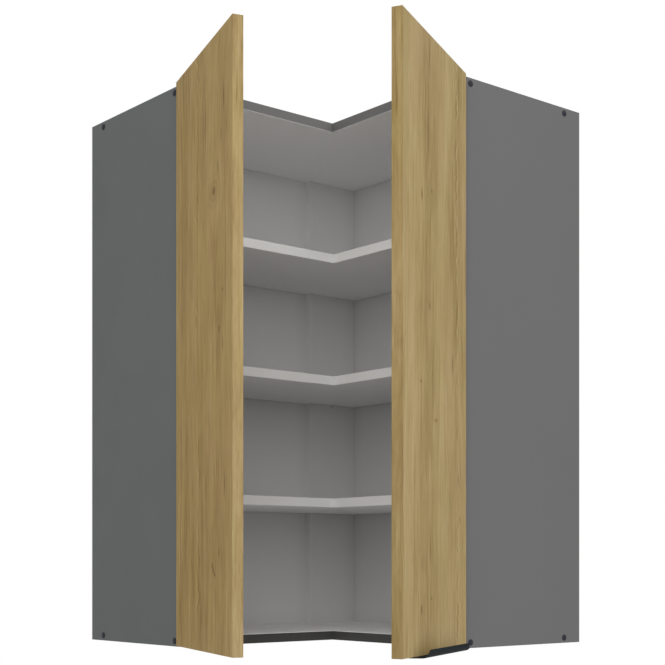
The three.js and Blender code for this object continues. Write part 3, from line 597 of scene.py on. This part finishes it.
# The front bands stop just short of the light faces, whose trimmed edge shows as a fine light lip.
LIGHT_LIP = 0.9 * MM
UNDER_TOP = (Z, "under", CEILING + LIGHT_LIP)
OVER_BOTTOM = (Z, "over", FLOOR_TOP - LIGHT_LIP)
# The top's underside and the bottom's upper face are painted lighter: painted light.
TOP = laminate(
    "top_board", GRAPHITE,
    [
        (FRONT, GRAPHITE_BAND), ([UNDER_TOP], LIGHT_GREY_PAINTED_LIGHTER), ([*FRONT, UNDER_TOP], LIP_GREY),
        WALL_EDGE_RIGHT, WALL_EDGE_LEFT,
    ],
)
# Its front band carries painted shade.
BOTTOM = laminate(
    "bottom_board", GRAPHITE,
    [(FRONT, SHADED_BOTTOM_BAND), ([OVER_BOTTOM], LIGHT_GREY_PAINTED_LIGHTER), WALL_EDGE_RIGHT, WALL_EDGE_LEFT],
)
print("finishes made:", len(bpy.data.materials))

# %% [markdown]
# ## Finished pieces from the solids
#
# A solid has knife-sharp edges, but no real board or pressing does. Each piece is a copy of its solid:
# its loose triangles are joined, its flat faces are made whole again, and a small bevel rounds its edges.
# The bevel is the real radius: about a millimetre on the doors' bands, a few tenths on board corners, and
# less on sheet metal. The finished piece then rides on its body and stands for its solid.


# %% Mending and rounding a copy
SHARP = math.radians(34)
FLAT_WITHIN = math.radians(0.5)
SAME_PLACE = 0.002 * MM


def mend_faces(mesh):
    """Joins a solid's loose triangles and merges the coplanar ones."""
    work = bmesh.new()
    work.from_mesh(mesh)
    bmesh.ops.remove_doubles(work, verts=work.verts, dist=SAME_PLACE)
    bmesh.ops.dissolve_limit(
        work, angle_limit=FLAT_WITHIN, use_dissolve_boundaries=False, verts=work.verts, edges=work.edges
    )
    for face in work.faces:
        face.smooth = True
    for edge in work.edges:
        edge.smooth = len(edge.link_faces) == 2 and edge.calc_face_angle() < SHARP
    work.to_mesh(mesh)
    work.free()


def set_in_stone(obj):
    """Replaces an object by a plain mesh of what its modifiers make."""
    bpy.context.view_layer.update()
    solid = bpy.data.meshes.new_from_object(obj.evaluated_get(bpy.context.evaluated_depsgraph_get()))
    obj.modifiers.clear()
    obj.data = solid
    return obj


def round_edges(obj, radius, segments=2):
    """Rounds every sharp outer edge. An inner corner stays sharp: there two bands simply meet."""
    mesh = bmesh.new()
    mesh.from_mesh(obj.data)
    weight = mesh.edges.layers.float.new("bevel_weight_edge")
    for edge in mesh.edges:
        if len(edge.link_faces) == 2 and edge.calc_face_angle_signed() > SHARP:
            edge[weight] = 1.0
    mesh.to_mesh(obj.data)
    mesh.free()
    bevel = obj.modifiers.new("edge_radius", "BEVEL")
    bevel.width = radius
    bevel.segments = segments
    bevel.limit_method = "WEIGHT"
    bevel.harden_normals = True
    return set_in_stone(obj)


print(f"outer edges sharper than {math.degrees(SHARP):.0f} degrees get a radius")


# %% Handing over a piece
def hand_over(obj, slot, *stands_for, body=None):
    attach(obj, body or body_of_node[stands_for[0]])
    if stands_for:
        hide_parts(*stands_for)
    return obj


def new_object(name, mesh):
    obj = bpy.data.objects.new(name, mesh)
    bpy.context.scene.collection.objects.link(obj)
    return obj


def keep_inside(obj, node):
    """The bevel may push a corner out by a hair: it is put back to the solid's own limits."""
    low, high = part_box(node)
    for vertex in obj.data.vertices:
        vertex.co = [min(max(value, low[i]), high[i]) for i, value in enumerate(vertex.co)]


def finish_piece(node, slot, material, radius, segments=2):
    mesh = nodes[node].data.copy()
    mesh.materials.clear()
    mesh.materials.append(material)
    mend_faces(mesh)
    obj = new_object(f"{node}_finished", mesh)
    if radius:
        round_edges(obj, radius, segments)
        keep_inside(obj, node)
    return hand_over(obj, slot, node)


print("pieces can ride on:", sorted(set(body_of_node.values())))

# %% [markdown]
# ## The carcass
#
# Two side panels, an L-shaped top and bottom, the upright plank in the back corner and two thin backs.
# The top and bottom are set 1 mm inside the side panels' ends, so a fine step runs round their joints.
# The plank's free edge shows in every compartment as a narrow upright line.

# %% Carcass boards
BOARD_RADIUS = 0.5 * MM
SHEET_RADIUS = 0.2 * MM
OUTER_BOARDS = {
    "side_panel_left": SIDE_LEFT, "side_panel_right": SIDE_RIGHT, "top_panel": TOP, "bottom_panel": BOTTOM,
}
for name, board in OUTER_BOARDS.items():
    finish_piece(name, "graphite_board", board, BOARD_RADIUS)
# The plank's light faces carry painted shade under each board, on the floor and beside the right back.
POST_BOARD = laminate(
    "corner_post_board", POST_GREY,
    [([(X, "under", POST_LOW.x + SKIN)], RAW), ([(Y, "under", POST_LOW.y + SKIN)], POST_BAND)],
    corners=[*PAINTED_SHADE_LEVELS, (Y, POST_HIGH.y, 0.06)],
)
finish_piece("corner_post", "light_grey_board", POST_BOARD, BOARD_RADIUS)
finish_piece("back_panel_right", "grey_hardboard", HARDBOARD_RIGHT, SHEET_RADIUS)
finish_piece("back_panel_left", "grey_hardboard", HARDBOARD_LEFT, SHEET_RADIUS)

# %% [markdown]
# ## The shelves, as a rule
#
# A shelf follows a rule: a square board that reaches from the backs to the side panels, less a square at
# the front that leaves the L, less a notch for the corner plank. Such a piece suits Geometry Nodes. The
# tree below has one named input for each size, cuts the two corners away, and is run once per shelf with
# another height. Bevelled, it has the same front band as the real board.


# %% Geometry Nodes helpers
SOCKET_KINDS = {float: "NodeSocketFloat", int: "NodeSocketInt", type(None): "NodeSocketMaterial"}


def start_tree(name, inputs):
    """A geometry tree with named inputs, each with its usual value, or None where it takes a material."""
    tree = bpy.data.node_groups.new(name, "GeometryNodeTree")
    tree.interface.new_socket("Geometry", in_out="INPUT", socket_type="NodeSocketGeometry")
    for label, value in inputs.items():
        socket = tree.interface.new_socket(label, in_out="INPUT", socket_type=SOCKET_KINDS[type(value)])
        if value is not None:
            socket.default_value = value
    tree.interface.new_socket("Geometry", in_out="OUTPUT", socket_type="NodeSocketGeometry")
    return tree, tree.nodes.new("NodeGroupInput").outputs


def end_tree(tree, geometry, material):
    """Real geometry and its material come last, so that nothing is left as an instance."""
    real = put(tree, "GeometryNodeRealizeInstances", {"Geometry": geometry}).outputs[0]
    done = put(tree, "GeometryNodeSetMaterial", {"Geometry": real, "Material": material}).outputs[0]
    tree.links.new(done, tree.nodes.new("NodeGroupOutput").inputs[0])


def run_tree(tree, name, values, mesh=None):
    """Runs a tree on an object, sets its inputs by identifier, and keeps the plain result.
    The tree's own cubes and cones bring an empty material place with them, which is taken away."""
    obj = new_object(name, mesh or bpy.data.meshes.new(name))
    modifier = obj.modifiers.new("tree", "NODES")
    modifier.node_group = tree
    for item in tree.interface.items_tree:
        if item.item_type == "SOCKET" and item.in_out == "INPUT" and item.name in values:
            modifier[item.identifier] = values[item.name]
    set_in_stone(obj)
    for index in reversed(range(len(obj.data.materials))):
        if obj.data.materials[index] is None:
            obj.data.materials.pop(index=index)
    return obj


def moved(tree, geometry, offset):
    return put(tree, "GeometryNodeTransform", {"Geometry": geometry, "Translation": offset}).outputs[0]


def slab(tree, low, high):
    """A box between two corners."""
    size = put(tree, "ShaderNodeVectorMath", {0: high, 1: low}, operation="SUBTRACT").outputs[0]
    total = put(tree, "ShaderNodeVectorMath", {0: high, 1: low}, operation="ADD").outputs[0]
    half = put(tree, "ShaderNodeVectorMath", {0: total, "Scale": 0.5}, operation="SCALE").outputs[0]
    cube = put(tree, "GeometryNodeMeshCube", {"Size": size}).outputs["Mesh"]
    return moved(tree, cube, half)


def combine(tree, operation, parts, base=None):
    """Joins parts into one solid, or cuts them out of a base. The exact solver leaves no stray faces."""
    inputs = {"Mesh 1": base} if base else None
    node = put(tree, "GeometryNodeMeshBoolean", inputs, operation=operation, solver="EXACT")
    for part in parts:
        tree.links.new(part, node.inputs["Mesh 2"])
    return node.outputs[0]


print("a tree's inputs can be:", list(SOCKET_KINDS.values()))

# %% The shelf tree
shelf_tree, given = start_tree(
    "corner_shelf",
    {
        "Back": 0.0155, "End": 0.5815, "Front": 0.269, "Notch Depth": 0.0285, "Notch End": 0.1305,
        "Underside": 0.2, "Thickness": 0.016, "Finish": None,
    },
)
OVERRUN = 0.01
top_face = add(shelf_tree, given["Underside"], given["Thickness"])
past_top = add(shelf_tree, top_face, OVERRUN)
under_low = subtract(shelf_tree, given["Underside"], OVERRUN)
minus = {name: multiply(shelf_tree, given[name], -1.0) for name in ("Back", "End", "Front", "Notch End")}
past_end = add(shelf_tree, given["End"], OVERRUN)
past_end_y = multiply(shelf_tree, past_end, -1.0)
before_back = subtract(shelf_tree, given["Back"], OVERRUN)
past_back_y = multiply(shelf_tree, before_back, -1.0)
square = slab(
    shelf_tree,
    point(shelf_tree, given["Back"], minus["End"], given["Underside"]),
    point(shelf_tree, given["End"], minus["Back"], top_face),
)
front_square = slab(
    shelf_tree,
    point(shelf_tree, given["Front"], past_end_y, under_low),
    point(shelf_tree, past_end, minus["Front"], past_top),
)
notch = slab(
    shelf_tree,
    point(shelf_tree, before_back, minus["Notch End"], under_low),
    point(shelf_tree, given["Notch Depth"], past_back_y, past_top),
)
cut_board = combine(shelf_tree, "DIFFERENCE", [front_square, notch], square)
end_tree(shelf_tree, cut_board, given["Finish"])
print("shelf tree:", len(shelf_tree.nodes), "nodes")

# %% Three shelves
SHELF_GAP = 0.5 * MM
SHELF_RADIUS = 0.7 * MM
SHELF_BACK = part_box("shelf_1")[0].x
undersides = [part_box(f"shelf_{number}")[0].z for number in (1, 2, 3)]
# The shelves' undersides are painted lighter: painted light.
SHELF_BOARD = laminate(
    "shelf_board",
    SHELF_GREY,
    [([(Z, "over", z - SKIN), (Z, "under", z + SKIN)], SHELF_UNDERSIDE_PAINTED_LIGHTER) for z in undersides]
    + [([(Y, "over", -SHELF_BACK - SKIN)], RAW), ([(X, "under", SHELF_BACK + SKIN)], RAW)]
    + [(SHELF_EDGE, SHELF_BAND), (SHELF_JOINT_SHADE, JOINT_SHADE_GREY)],
)
for number in (1, 2, 3):
    low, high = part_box(f"shelf_{number}")
    sizes = {
        "Back": low.x, "End": high.x, "Front": SHELF_FRONT, "Notch Depth": POST_HIGH.x + SHELF_GAP,
        "Notch End": -POST_LOW.y + SHELF_GAP, "Underside": low.z, "Thickness": high.z - low.z,
    }
    board = run_tree(shelf_tree, f"shelf_{number}_finished", {**sizes, "Finish": SHELF_BOARD})
    mend_faces(board.data)
    round_edges(board, SHELF_RADIUS, 3)
    hand_over(board, "light_grey_board", f"shelf_{number}")
    print(board.name, "faces:", len(board.data.polygons), "box:", [round(v, 4) for v in board.dimensions])

# %% [markdown]
# ## The doors
#
# Each door is a plain board with two blind holes for the hinge cups in its inner face. Its four edges
# are banded in the same pattern, with a radius of about a millimetre that catches the light as a fine
# line. A band's glue joint shows as nothing more than that, so the oak finish runs over face and edge.

# %% Doors
LEFT_DOOR_WIDTH = 294.65 * MM
RIGHT_DOOR_WIDTH = 286.6 * MM
OAK_LEFT = oak(
    "oak_left_door", "left", LEFT_DOOR_WIDTH, 3.7,
    [
        (0.0, 0.5), (0.12, 0.36), (0.21, 0.38), (0.375, 0.44), (0.47, 0.2), (0.55, 0.24),
        (0.63, 0.56), (0.72, 0.36), (0.80, 0.36), (0.88, 0.5), (1.0, 0.58),
    ],
    contrast=1.0,
    knots=[(206, 674, 30)],
    marks=[
        (226, 705, 3.5, 14, 0.55), (254, 797, 6, 28, 0.45), (268, 750, 3, 25, 0.35),
        (163, 790, 3, 40, 0.4), (113, 865, 4, 28, 0.45), (241, 748, 3, 16, 0.4),
        (199, 130, 4, 7, 0.75), (205, 123, 4, 6, 0.75), (211, 117, 5, 5, 0.6),
        (231, 150, 3, 9, 0.55), (257, 247, 5, 25, 0.45), (167, 246, 3, 30, 0.4),
        (231, 470, 4, 8, 0.65), (247, 448, 3, 14, 0.5), (247, 524, 4, 4, 0.5),
        (114, 499, 3.5, 14, 0.45),
    ],
    flame=115 * MM,
    # Painted shade: this tint darkens and warms the left door's face, which is turned from the light.
    painted_face_shade=(0.955, 0.89, 0.77),
    # The end tint is the foil's own tone with painted shade on this end.
    end_tone_and_shade=(0.86, 0.85, 0.85),
)
OAK_RIGHT = oak(
    "oak_right_door", "right", RIGHT_DOOR_WIDTH, 8.2,
    [
        (0.0, 0.6), (0.125, 0.42), (0.21, 0.45), (0.29, 0.8), (0.38, 0.76), (0.46, 0.58),
        (0.54, 0.25), (0.63, 0.06), (0.71, 0.2), (0.79, 0.5), (0.88, 0.66), (1.0, 0.54),
    ],
    contrast=0.88,
    marks=[
        (206, 659, 3.5, 12, 0.7), (164, 674, 3, 5, 0.6), (177, 756, 3, 40, 0.5),
        (174, 864, 5, 35, 0.4), (41, 868, 4, 35, 0.5), (210, 393, 3, 4, 0.75),
        (172, 506, 4, 7, 0.5), (67, 436, 5, 20, 0.45), (145, 343, 10, 4, 0.4),
        (41, 260, 3.5, 14, 0.5), (31, 201, 3, 8, 0.6), (207, 68, 3.5, 10, 0.75),
        (165, 83, 3, 4, 0.7), (207, 133, 3, 16, 0.45), (172, 152, 3, 30, 0.45),
    ],
    flame=43 * MM,
    # The end tint is the foil's own tone with painted shade on this end.
    end_tone_and_shade=(0.75, 0.72, 0.66),
)
DOOR_RADIUS = 1.0 * MM
finish_piece("door_left", "oak_front", OAK_LEFT, DOOR_RADIUS, 3)
finish_piece("door_right", "oak_front", OAK_RIGHT, DOOR_RADIUS, 3)
print(f"doors: {LEFT_DOOR_WIDTH:.4f} and {RIGHT_DOOR_WIDTH:.4f} m wide")

# %% [markdown]
# ## Pull, hinges, hangers and small turned pieces
#
# These are pressed, bent or moulded. Their shapes come whole from the solids, and only need the right
# radius: a bent sheet's edge is broken by a tenth or two, a moulded housing by half a millimetre.

# %% Small pieces
PULL_RADIUS = 0.25 * MM
HOUSING_RADIUS = 0.5 * MM
HOOK_RADIUS = 0.3 * MM
CAP_RADIUS = 0.15 * MM
finish_piece("door_pull", "black_metal", BLACK_COAT, PULL_RADIUS)
for side in ("left", "right"):
    finish_piece(f"hanger_housing_{side}", "white_plastic", WHITE_PLASTIC, HOUSING_RADIUS)
    finish_piece(f"hanger_hook_{side}", "steel", ZINC, HOOK_RADIUS)
    finish_piece(f"wall_rail_{side}", "steel", ZINC, SHEET_RADIUS)
    for level in ("lower", "upper"):
        for kind in ("cup", "plate", "arm", "link"):
            finish_piece(f"hinge_{kind}_{side}_{level}", "nickel_steel", NICKEL, SHEET_RADIUS)
        for place in ("back", "front"):
            finish_piece(f"screw_cap_{side}_{level}_{place}", "dark_plastic", DARK_PLASTIC, CAP_RADIUS)
for name in nodes:
    if name.startswith("shelf_pin"):
        finish_piece(name, "steel", PIN_ZINC, 0)
left_over = [name for name, obj in nodes.items() if not obj.hide_render]
print("solids still shown as they are:", left_over)

# %% [markdown]
# ## Screws, by Geometry Nodes
#
# One tree makes every screw: a head with sloping sides, a cross recess cut into it and a shank. It stands
# one on each point of a small mesh of points, turned so that it looks the way its point says. Each cross
# is turned by its own amount, as screws driven by hand are. The seed is fixed, so the result repeats.


# %% One screw
screw_tree, given = start_tree(
    "cross_head_screws",
    {
        "Head Radius": 0.0035, "Head Height": 0.002, "Recess Width": 0.0009, "Recess Depth": 0.0011,
        "Shank Radius": 0.0017, "Shank Length": 0.012, "Seed": 4, "Finish": None,
    },
)
HEAD_TAPER = 0.78
ROOT_SHARE = 0.3
RECESS_REACH = 1.15


def frustum(tree, low_radius, high_radius, height, base, sides=24):
    """A cone cut short, standing on a height."""
    sizes = {"Vertices": sides, "Radius Top": high_radius, "Radius Bottom": low_radius, "Depth": height}
    cone = put(tree, "GeometryNodeMeshCone", sizes).outputs["Mesh"]
    return moved(tree, cone, point(tree, z=base))


head_top = multiply(screw_tree, given["Head Radius"], HEAD_TAPER)
head = frustum(screw_tree, given["Head Radius"], head_top, given["Head Height"], 0.0)
sink = multiply(screw_tree, given["Shank Length"], -1.0)
root = multiply(screw_tree, given["Head Height"], ROOT_SHARE)
shank_length = add(screw_tree, given["Shank Length"], root)
shank = frustum(screw_tree, given["Shank Radius"], given["Shank Radius"], shank_length, sink, 16)
whole = combine(screw_tree, "UNION", [head, shank])
reach = multiply(screw_tree, given["Head Radius"], RECESS_REACH)
deep = multiply(screw_tree, given["Recess Depth"], 2.0)
bars = []
for width, length in ((reach, given["Recess Width"]), (given["Recess Width"], reach)):
    size = point(screw_tree, width, length, deep)
    bar = put(screw_tree, "GeometryNodeMeshCube", {"Size": size}).outputs["Mesh"]
    bars.append(moved(screw_tree, bar, point(screw_tree, z=given["Head Height"])))
one_screw = combine(screw_tree, "DIFFERENCE", [combine(screw_tree, "UNION", bars)], whole)
print("one screw:", len(screw_tree.nodes), "nodes")

# %% A screw on every point
facing = put(screw_tree, "GeometryNodeInputNamedAttribute", {"Name": "facing"}, data_type="FLOAT_VECTOR")
way = {"Vector": facing.outputs[0]}
aligned = put(screw_tree, "FunctionNodeAlignRotationToVector", way, axis="Z").outputs[0]
sets = {"Points": given["Geometry"], "Instance": one_screw, "Rotation": aligned}
standing = put(screw_tree, "GeometryNodeInstanceOnPoints", sets).outputs[0]
spin = put(screw_tree, "FunctionNodeRandomValue", {"Seed": given["Seed"]}, data_type="FLOAT")
spin.inputs[3].default_value = math.tau / 4
turns = {"Instances": standing, "Rotation": point(screw_tree, z=spin.outputs[1])}
turned = put(screw_tree, "GeometryNodeRotateInstances", turns).outputs[0]
end_tree(screw_tree, turned, given["Finish"])
print("screw tree:", len(screw_tree.nodes), "nodes")


def screws(name, body, points, slot, material, seed, **sizes_in_mm):
    """Sets one screw at each (place, way it faces), as one plain mesh on one body."""
    mesh = bpy.data.meshes.new(name)
    mesh.from_pydata([tuple(place) for place, _ in points], [], [])
    layer = mesh.attributes.new("facing", "FLOAT_VECTOR", "POINT")
    for item, (_, way) in zip(layer.data, points):
        item.vector = way
    values = {label.replace("_", " ").title(): size * MM for label, size in sizes_in_mm.items()}
    obj = run_tree(screw_tree, name, {**values, "Seed": seed, "Finish": material}, mesh)
    if "facing" in obj.data.attributes:
        obj.data.attributes.remove(obj.data.attributes["facing"])
    hand_over(obj, slot, body=body)
    print(f"{name}: {len(points)} screws, {len(obj.data.polygons)} faces, on {body}")
    return obj


# %% [markdown]
# ## Where the screws go
#
# Carcass screws sit behind their caps, deep in the side panels. Each hinge plate has two, above and below
# its block, and each cup has two through its wings. The hangers, the pull and the rails have two each.
# All places are worked out from the solids' boxes and the doors' axes.

# %% Places of the carcass screws
SIDE_OUTER = {"right": Vector((1, 0, 0)), "left": Vector((0, -1, 0))}
INTO_ROOM = {"right": Vector((0, -1, 0)), "left": Vector((1, 0, 0))}


def middle(node):
    low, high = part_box(node)
    return (low + high) / 2


def end_towards(node, way):
    """The middle of the box's face that looks along an axis."""
    low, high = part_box(node)
    reach = sum(abs(way[i]) * (high[i] - low[i]) / 2 for i in range(3))
    return middle(node) + way * reach


UP = Vector((0, 0, 1))
# How deep the heads' undersides sit behind the face that each group of screws is placed by, and how far
# its screws stand from that face's middle.
BEHIND_CAP = 3.6 * MM
PLATE_SINK, PLATE_RISE = 1.6 * MM, 18 * MM
HANGER_SINK, HANGER_RISE = 6 * MM, 15 * MM
RAIL_FACE, RAIL_SCREW_HEIGHT, RAIL_SHIFT = 1.5 * MM, 12 * MM, 12 * MM
carcass, plates, hangers, rails = [], [], [], []
for side in ("left", "right"):
    out, room = SIDE_OUTER[side], INTO_ROOM[side]
    for level in ("lower", "upper"):
        for place in ("back", "front"):
            cap_end = end_towards(f"screw_cap_{side}_{level}_{place}", -out)
            carcass.append((cap_end - out * BEHIND_CAP, out))
        seat = end_towards(f"hinge_plate_{side}_{level}", out) - out * PLATE_SINK
        plates += [(seat + UP * rise, -out) for rise in (-PLATE_RISE, PLATE_RISE)]
    face = end_towards(f"hanger_housing_{side}", room) - room * HANGER_SINK
    hangers += [(face + UP * rise, room) for rise in (-HANGER_RISE, HANGER_RISE)]
    rail_foot = middle(f"wall_rail_{side}")
    rail_foot.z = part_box(f"wall_rail_{side}")[0].z + RAIL_SCREW_HEIGHT
    across_room = Y if side == "right" else X
    for shift in (-RAIL_SHIFT, RAIL_SHIFT):
        place = rail_foot + out * shift
        place[across_room] = room[across_room] * RAIL_FACE
        rails.append((place, room))
print("places for screws:", len(carcass), len(plates), len(hangers), len(rails))

# %% Screws on the carcass
screws(
    "carcass_screws", "cabinet", carcass, "steel", ZINC, seed=2,
    head_radius=3.3, head_height=3, recess_width=1.4, recess_depth=2, shank_radius=2.3, shank_length=38,
)
screws(
    "hinge_plate_screws", "cabinet", plates, "nickel_steel", NICKEL, seed=5,
    head_radius=3.6, head_height=1.7, shank_radius=1.9, shank_length=12,
)
screws(
    "hanger_screws", "cabinet", hangers, "steel", ZINC, seed=7,
    head_radius=3.2, head_height=2.2, shank_radius=1.9, shank_length=5,
)
screws(
    "rail_screws", "cabinet", rails, "steel", ZINC, seed=9,
    head_radius=4.2, head_height=2, recess_width=1.1, shank_radius=2, shank_length=1.2,
)

# %% Screws on the doors
CUP_FACE = 1.1 * MM
WING_CENTRE = 30 * MM
WING_RISE = 23.5 * MM
for side in ("left", "right"):
    origin, along, outward = door_axes(side)
    cups = []
    for level in ("lower", "upper"):
        height = middle(f"hinge_cup_{side}_{level}").z
        for rise in (-WING_RISE, WING_RISE):
            wing = origin + along * WING_CENTRE - outward * CUP_FACE + UP * (height + rise)
            cups.append((wing, -outward))
    screws(
        f"cup_screws_{side}", f"{side}_door", cups, "nickel_steel", NICKEL, seed=11,
        head_radius=3.4, head_height=1.5, shank_radius=1.7, shank_length=10,
    )
PULL_LENGTH = 205 * MM
PULL_LEG_FACE = 1.5 * MM
PULL_SCREW_INSET = 25 * MM
PULL_SCREW_HEIGHT = 13 * MM
origin, along, outward = door_axes("right")
pull_start = (RIGHT_DOOR_WIDTH - PULL_LENGTH) / 2
pull_points = [
    (origin + along * s - outward * PULL_LEG_FACE + UP * PULL_SCREW_HEIGHT, -outward)
    for s in (pull_start + PULL_SCREW_INSET, pull_start + PULL_LENGTH - PULL_SCREW_INSET)
]
screws(
    "pull_screws", "right_door", pull_points, "black_metal", BLACK_COAT, seed=13,
    head_radius=2.9, head_height=1.4, recess_width=0.8, shank_radius=1.5, shank_length=11,
)

# %% [markdown]
# ## Floor, walls of light and the studio
#
# The cabinet hangs with its underside 1.4 m above a pale floor, as on a wall, but nothing else stands in
# the studio. The white surround is only for the camera and for reflections. The light on the boards is a
# plain even sky with one wide soft lamp off to the right and a round one in front. So the faces that look
# right are a little brighter than those that look left, and the insides fall off gently. Both are also
# painted in: the side boards' colours differ, and the inner corners carry a painted shade.

# %% Studio floor
FLOOR_DROP = 1.4
FLOOR_HALF = 9.0
FLOOR_LIFT = 0.62


def white_to_the_eye(tree):
    """1 for rays from the camera, from mirrors and through glass, and 0 for rays that light surfaces."""
    path = tree.nodes.new("ShaderNodeLightPath").outputs
    seen = math_node(tree, "MAXIMUM", path["Is Camera Ray"], path["Is Glossy Ray"])
    return math_node(tree, "MAXIMUM", seen, path["Is Transmission Ray"])


floor_mesh = bpy.data.meshes.new("studio_floor")
turns = ((-1, -1), (1, -1), (1, 1), (-1, 1))
floor_mesh.from_pydata([(x * FLOOR_HALF, y * FLOOR_HALF, -FLOOR_DROP) for x, y in turns], [], [(0, 1, 2, 3)])
floor = new_object("studio_floor", floor_mesh)
floor_finish, tree, shader, place = start_material("studio_floor", 0.9)
speck = spread(tree, noise(tree, place, 8, 3), 0.3, 0.7, 0.44, 0.46)
tree.links.new(point(tree, speck, speck, speck), shader.inputs["Base Color"])
shader.inputs["Emission Color"].default_value = rgba(1, 1, 1)
tree.links.new(multiply(tree, white_to_the_eye(tree), FLOOR_LIFT), shader.inputs["Emission Strength"])
floor_mesh.materials.append(floor_finish)
print(f"floor {FLOOR_DROP} m below the cabinet")

# %% Sky
SKY_LEVEL = 0.51
SKY_TILT = 0.8
world = bpy.data.worlds.new("even_sky")
bpy.context.scene.world = world
world.use_nodes = True
tree = world.node_tree
tree.nodes.clear()
eye = white_to_the_eye(tree)
direction = tree.nodes.new("ShaderNodeTexCoord").outputs["Generated"]
up = put(tree, "ShaderNodeSeparateXYZ", {0: direction}).outputs[2]
overhead = times_plus(tree, up, SKY_LEVEL * SKY_TILT, SKY_LEVEL)
unlit = subtract(tree, 1.0, eye)
level = add(tree, multiply(tree, overhead, unlit), eye)
sky = put(tree, "ShaderNodeBackground", {"Color": rgba(1, 1, 1), "Strength": level})
tree.links.new(sky.outputs[0], tree.nodes.new("ShaderNodeOutputWorld").inputs[0])
print("sky level", SKY_LEVEL, "and tilt", SKY_TILT)

# %% Lamps
LAMP_TARGET = Vector((0.3, -0.3, 0.6))


def hang_lamp(name, data, towards):
    """Puts a lamp in the scene, shining from the way that it is given."""
    lamp = bpy.data.objects.new(name, data)
    lamp.rotation_euler = towards.to_track_quat("Z", "Y").to_euler()
    bpy.context.scene.collection.objects.link(lamp)
    return lamp


def soft_sun(name, azimuth, elevation, spread_angle, level):
    """A wide, far lamp. Azimuth 0 shines from -Y and 90 from +X. A level of 1 lights white to white."""
    data = bpy.data.lights.new(name, "SUN")
    data.angle = math.radians(spread_angle)
    data.energy = level * math.pi
    a, e = math.radians(azimuth), math.radians(elevation)
    hang_lamp(name, data, Vector((math.sin(a) * math.cos(e), -math.cos(a) * math.cos(e), math.sin(e))))
    print(f"{name}: level {level} from azimuth {azimuth}")


def soft_panel(name, azimuth, distance, height, size, level):
    """A round lamp on a stand, turned to the middle of the cabinet."""
    data = bpy.data.lights.new(name, "AREA")
    data.shape = "DISK"
    data.size = size
    data.energy = level * (math.pi * distance) ** 2
    a = math.radians(azimuth)
    place = Vector((LAMP_TARGET.x + math.sin(a) * distance, LAMP_TARGET.y - math.cos(a) * distance, height))
    hang_lamp(name, data, place - LAMP_TARGET).location = place
    print(f"{name}: level {level}, {distance} m away at height {height}")


soft_sun("soft_light_from_the_right", 112, 40, 50, 0.32)
soft_panel("soft_light_from_the_front", 46, 2.2, 0.9, 1.5, 0.45)

# %% [markdown]
# ## The view transform
#
# The view transform is Standard, so that a colour comes out about as it is written. Finishing must
# not change its size.

bpy.context.scene.view_settings.view_transform = "Standard"
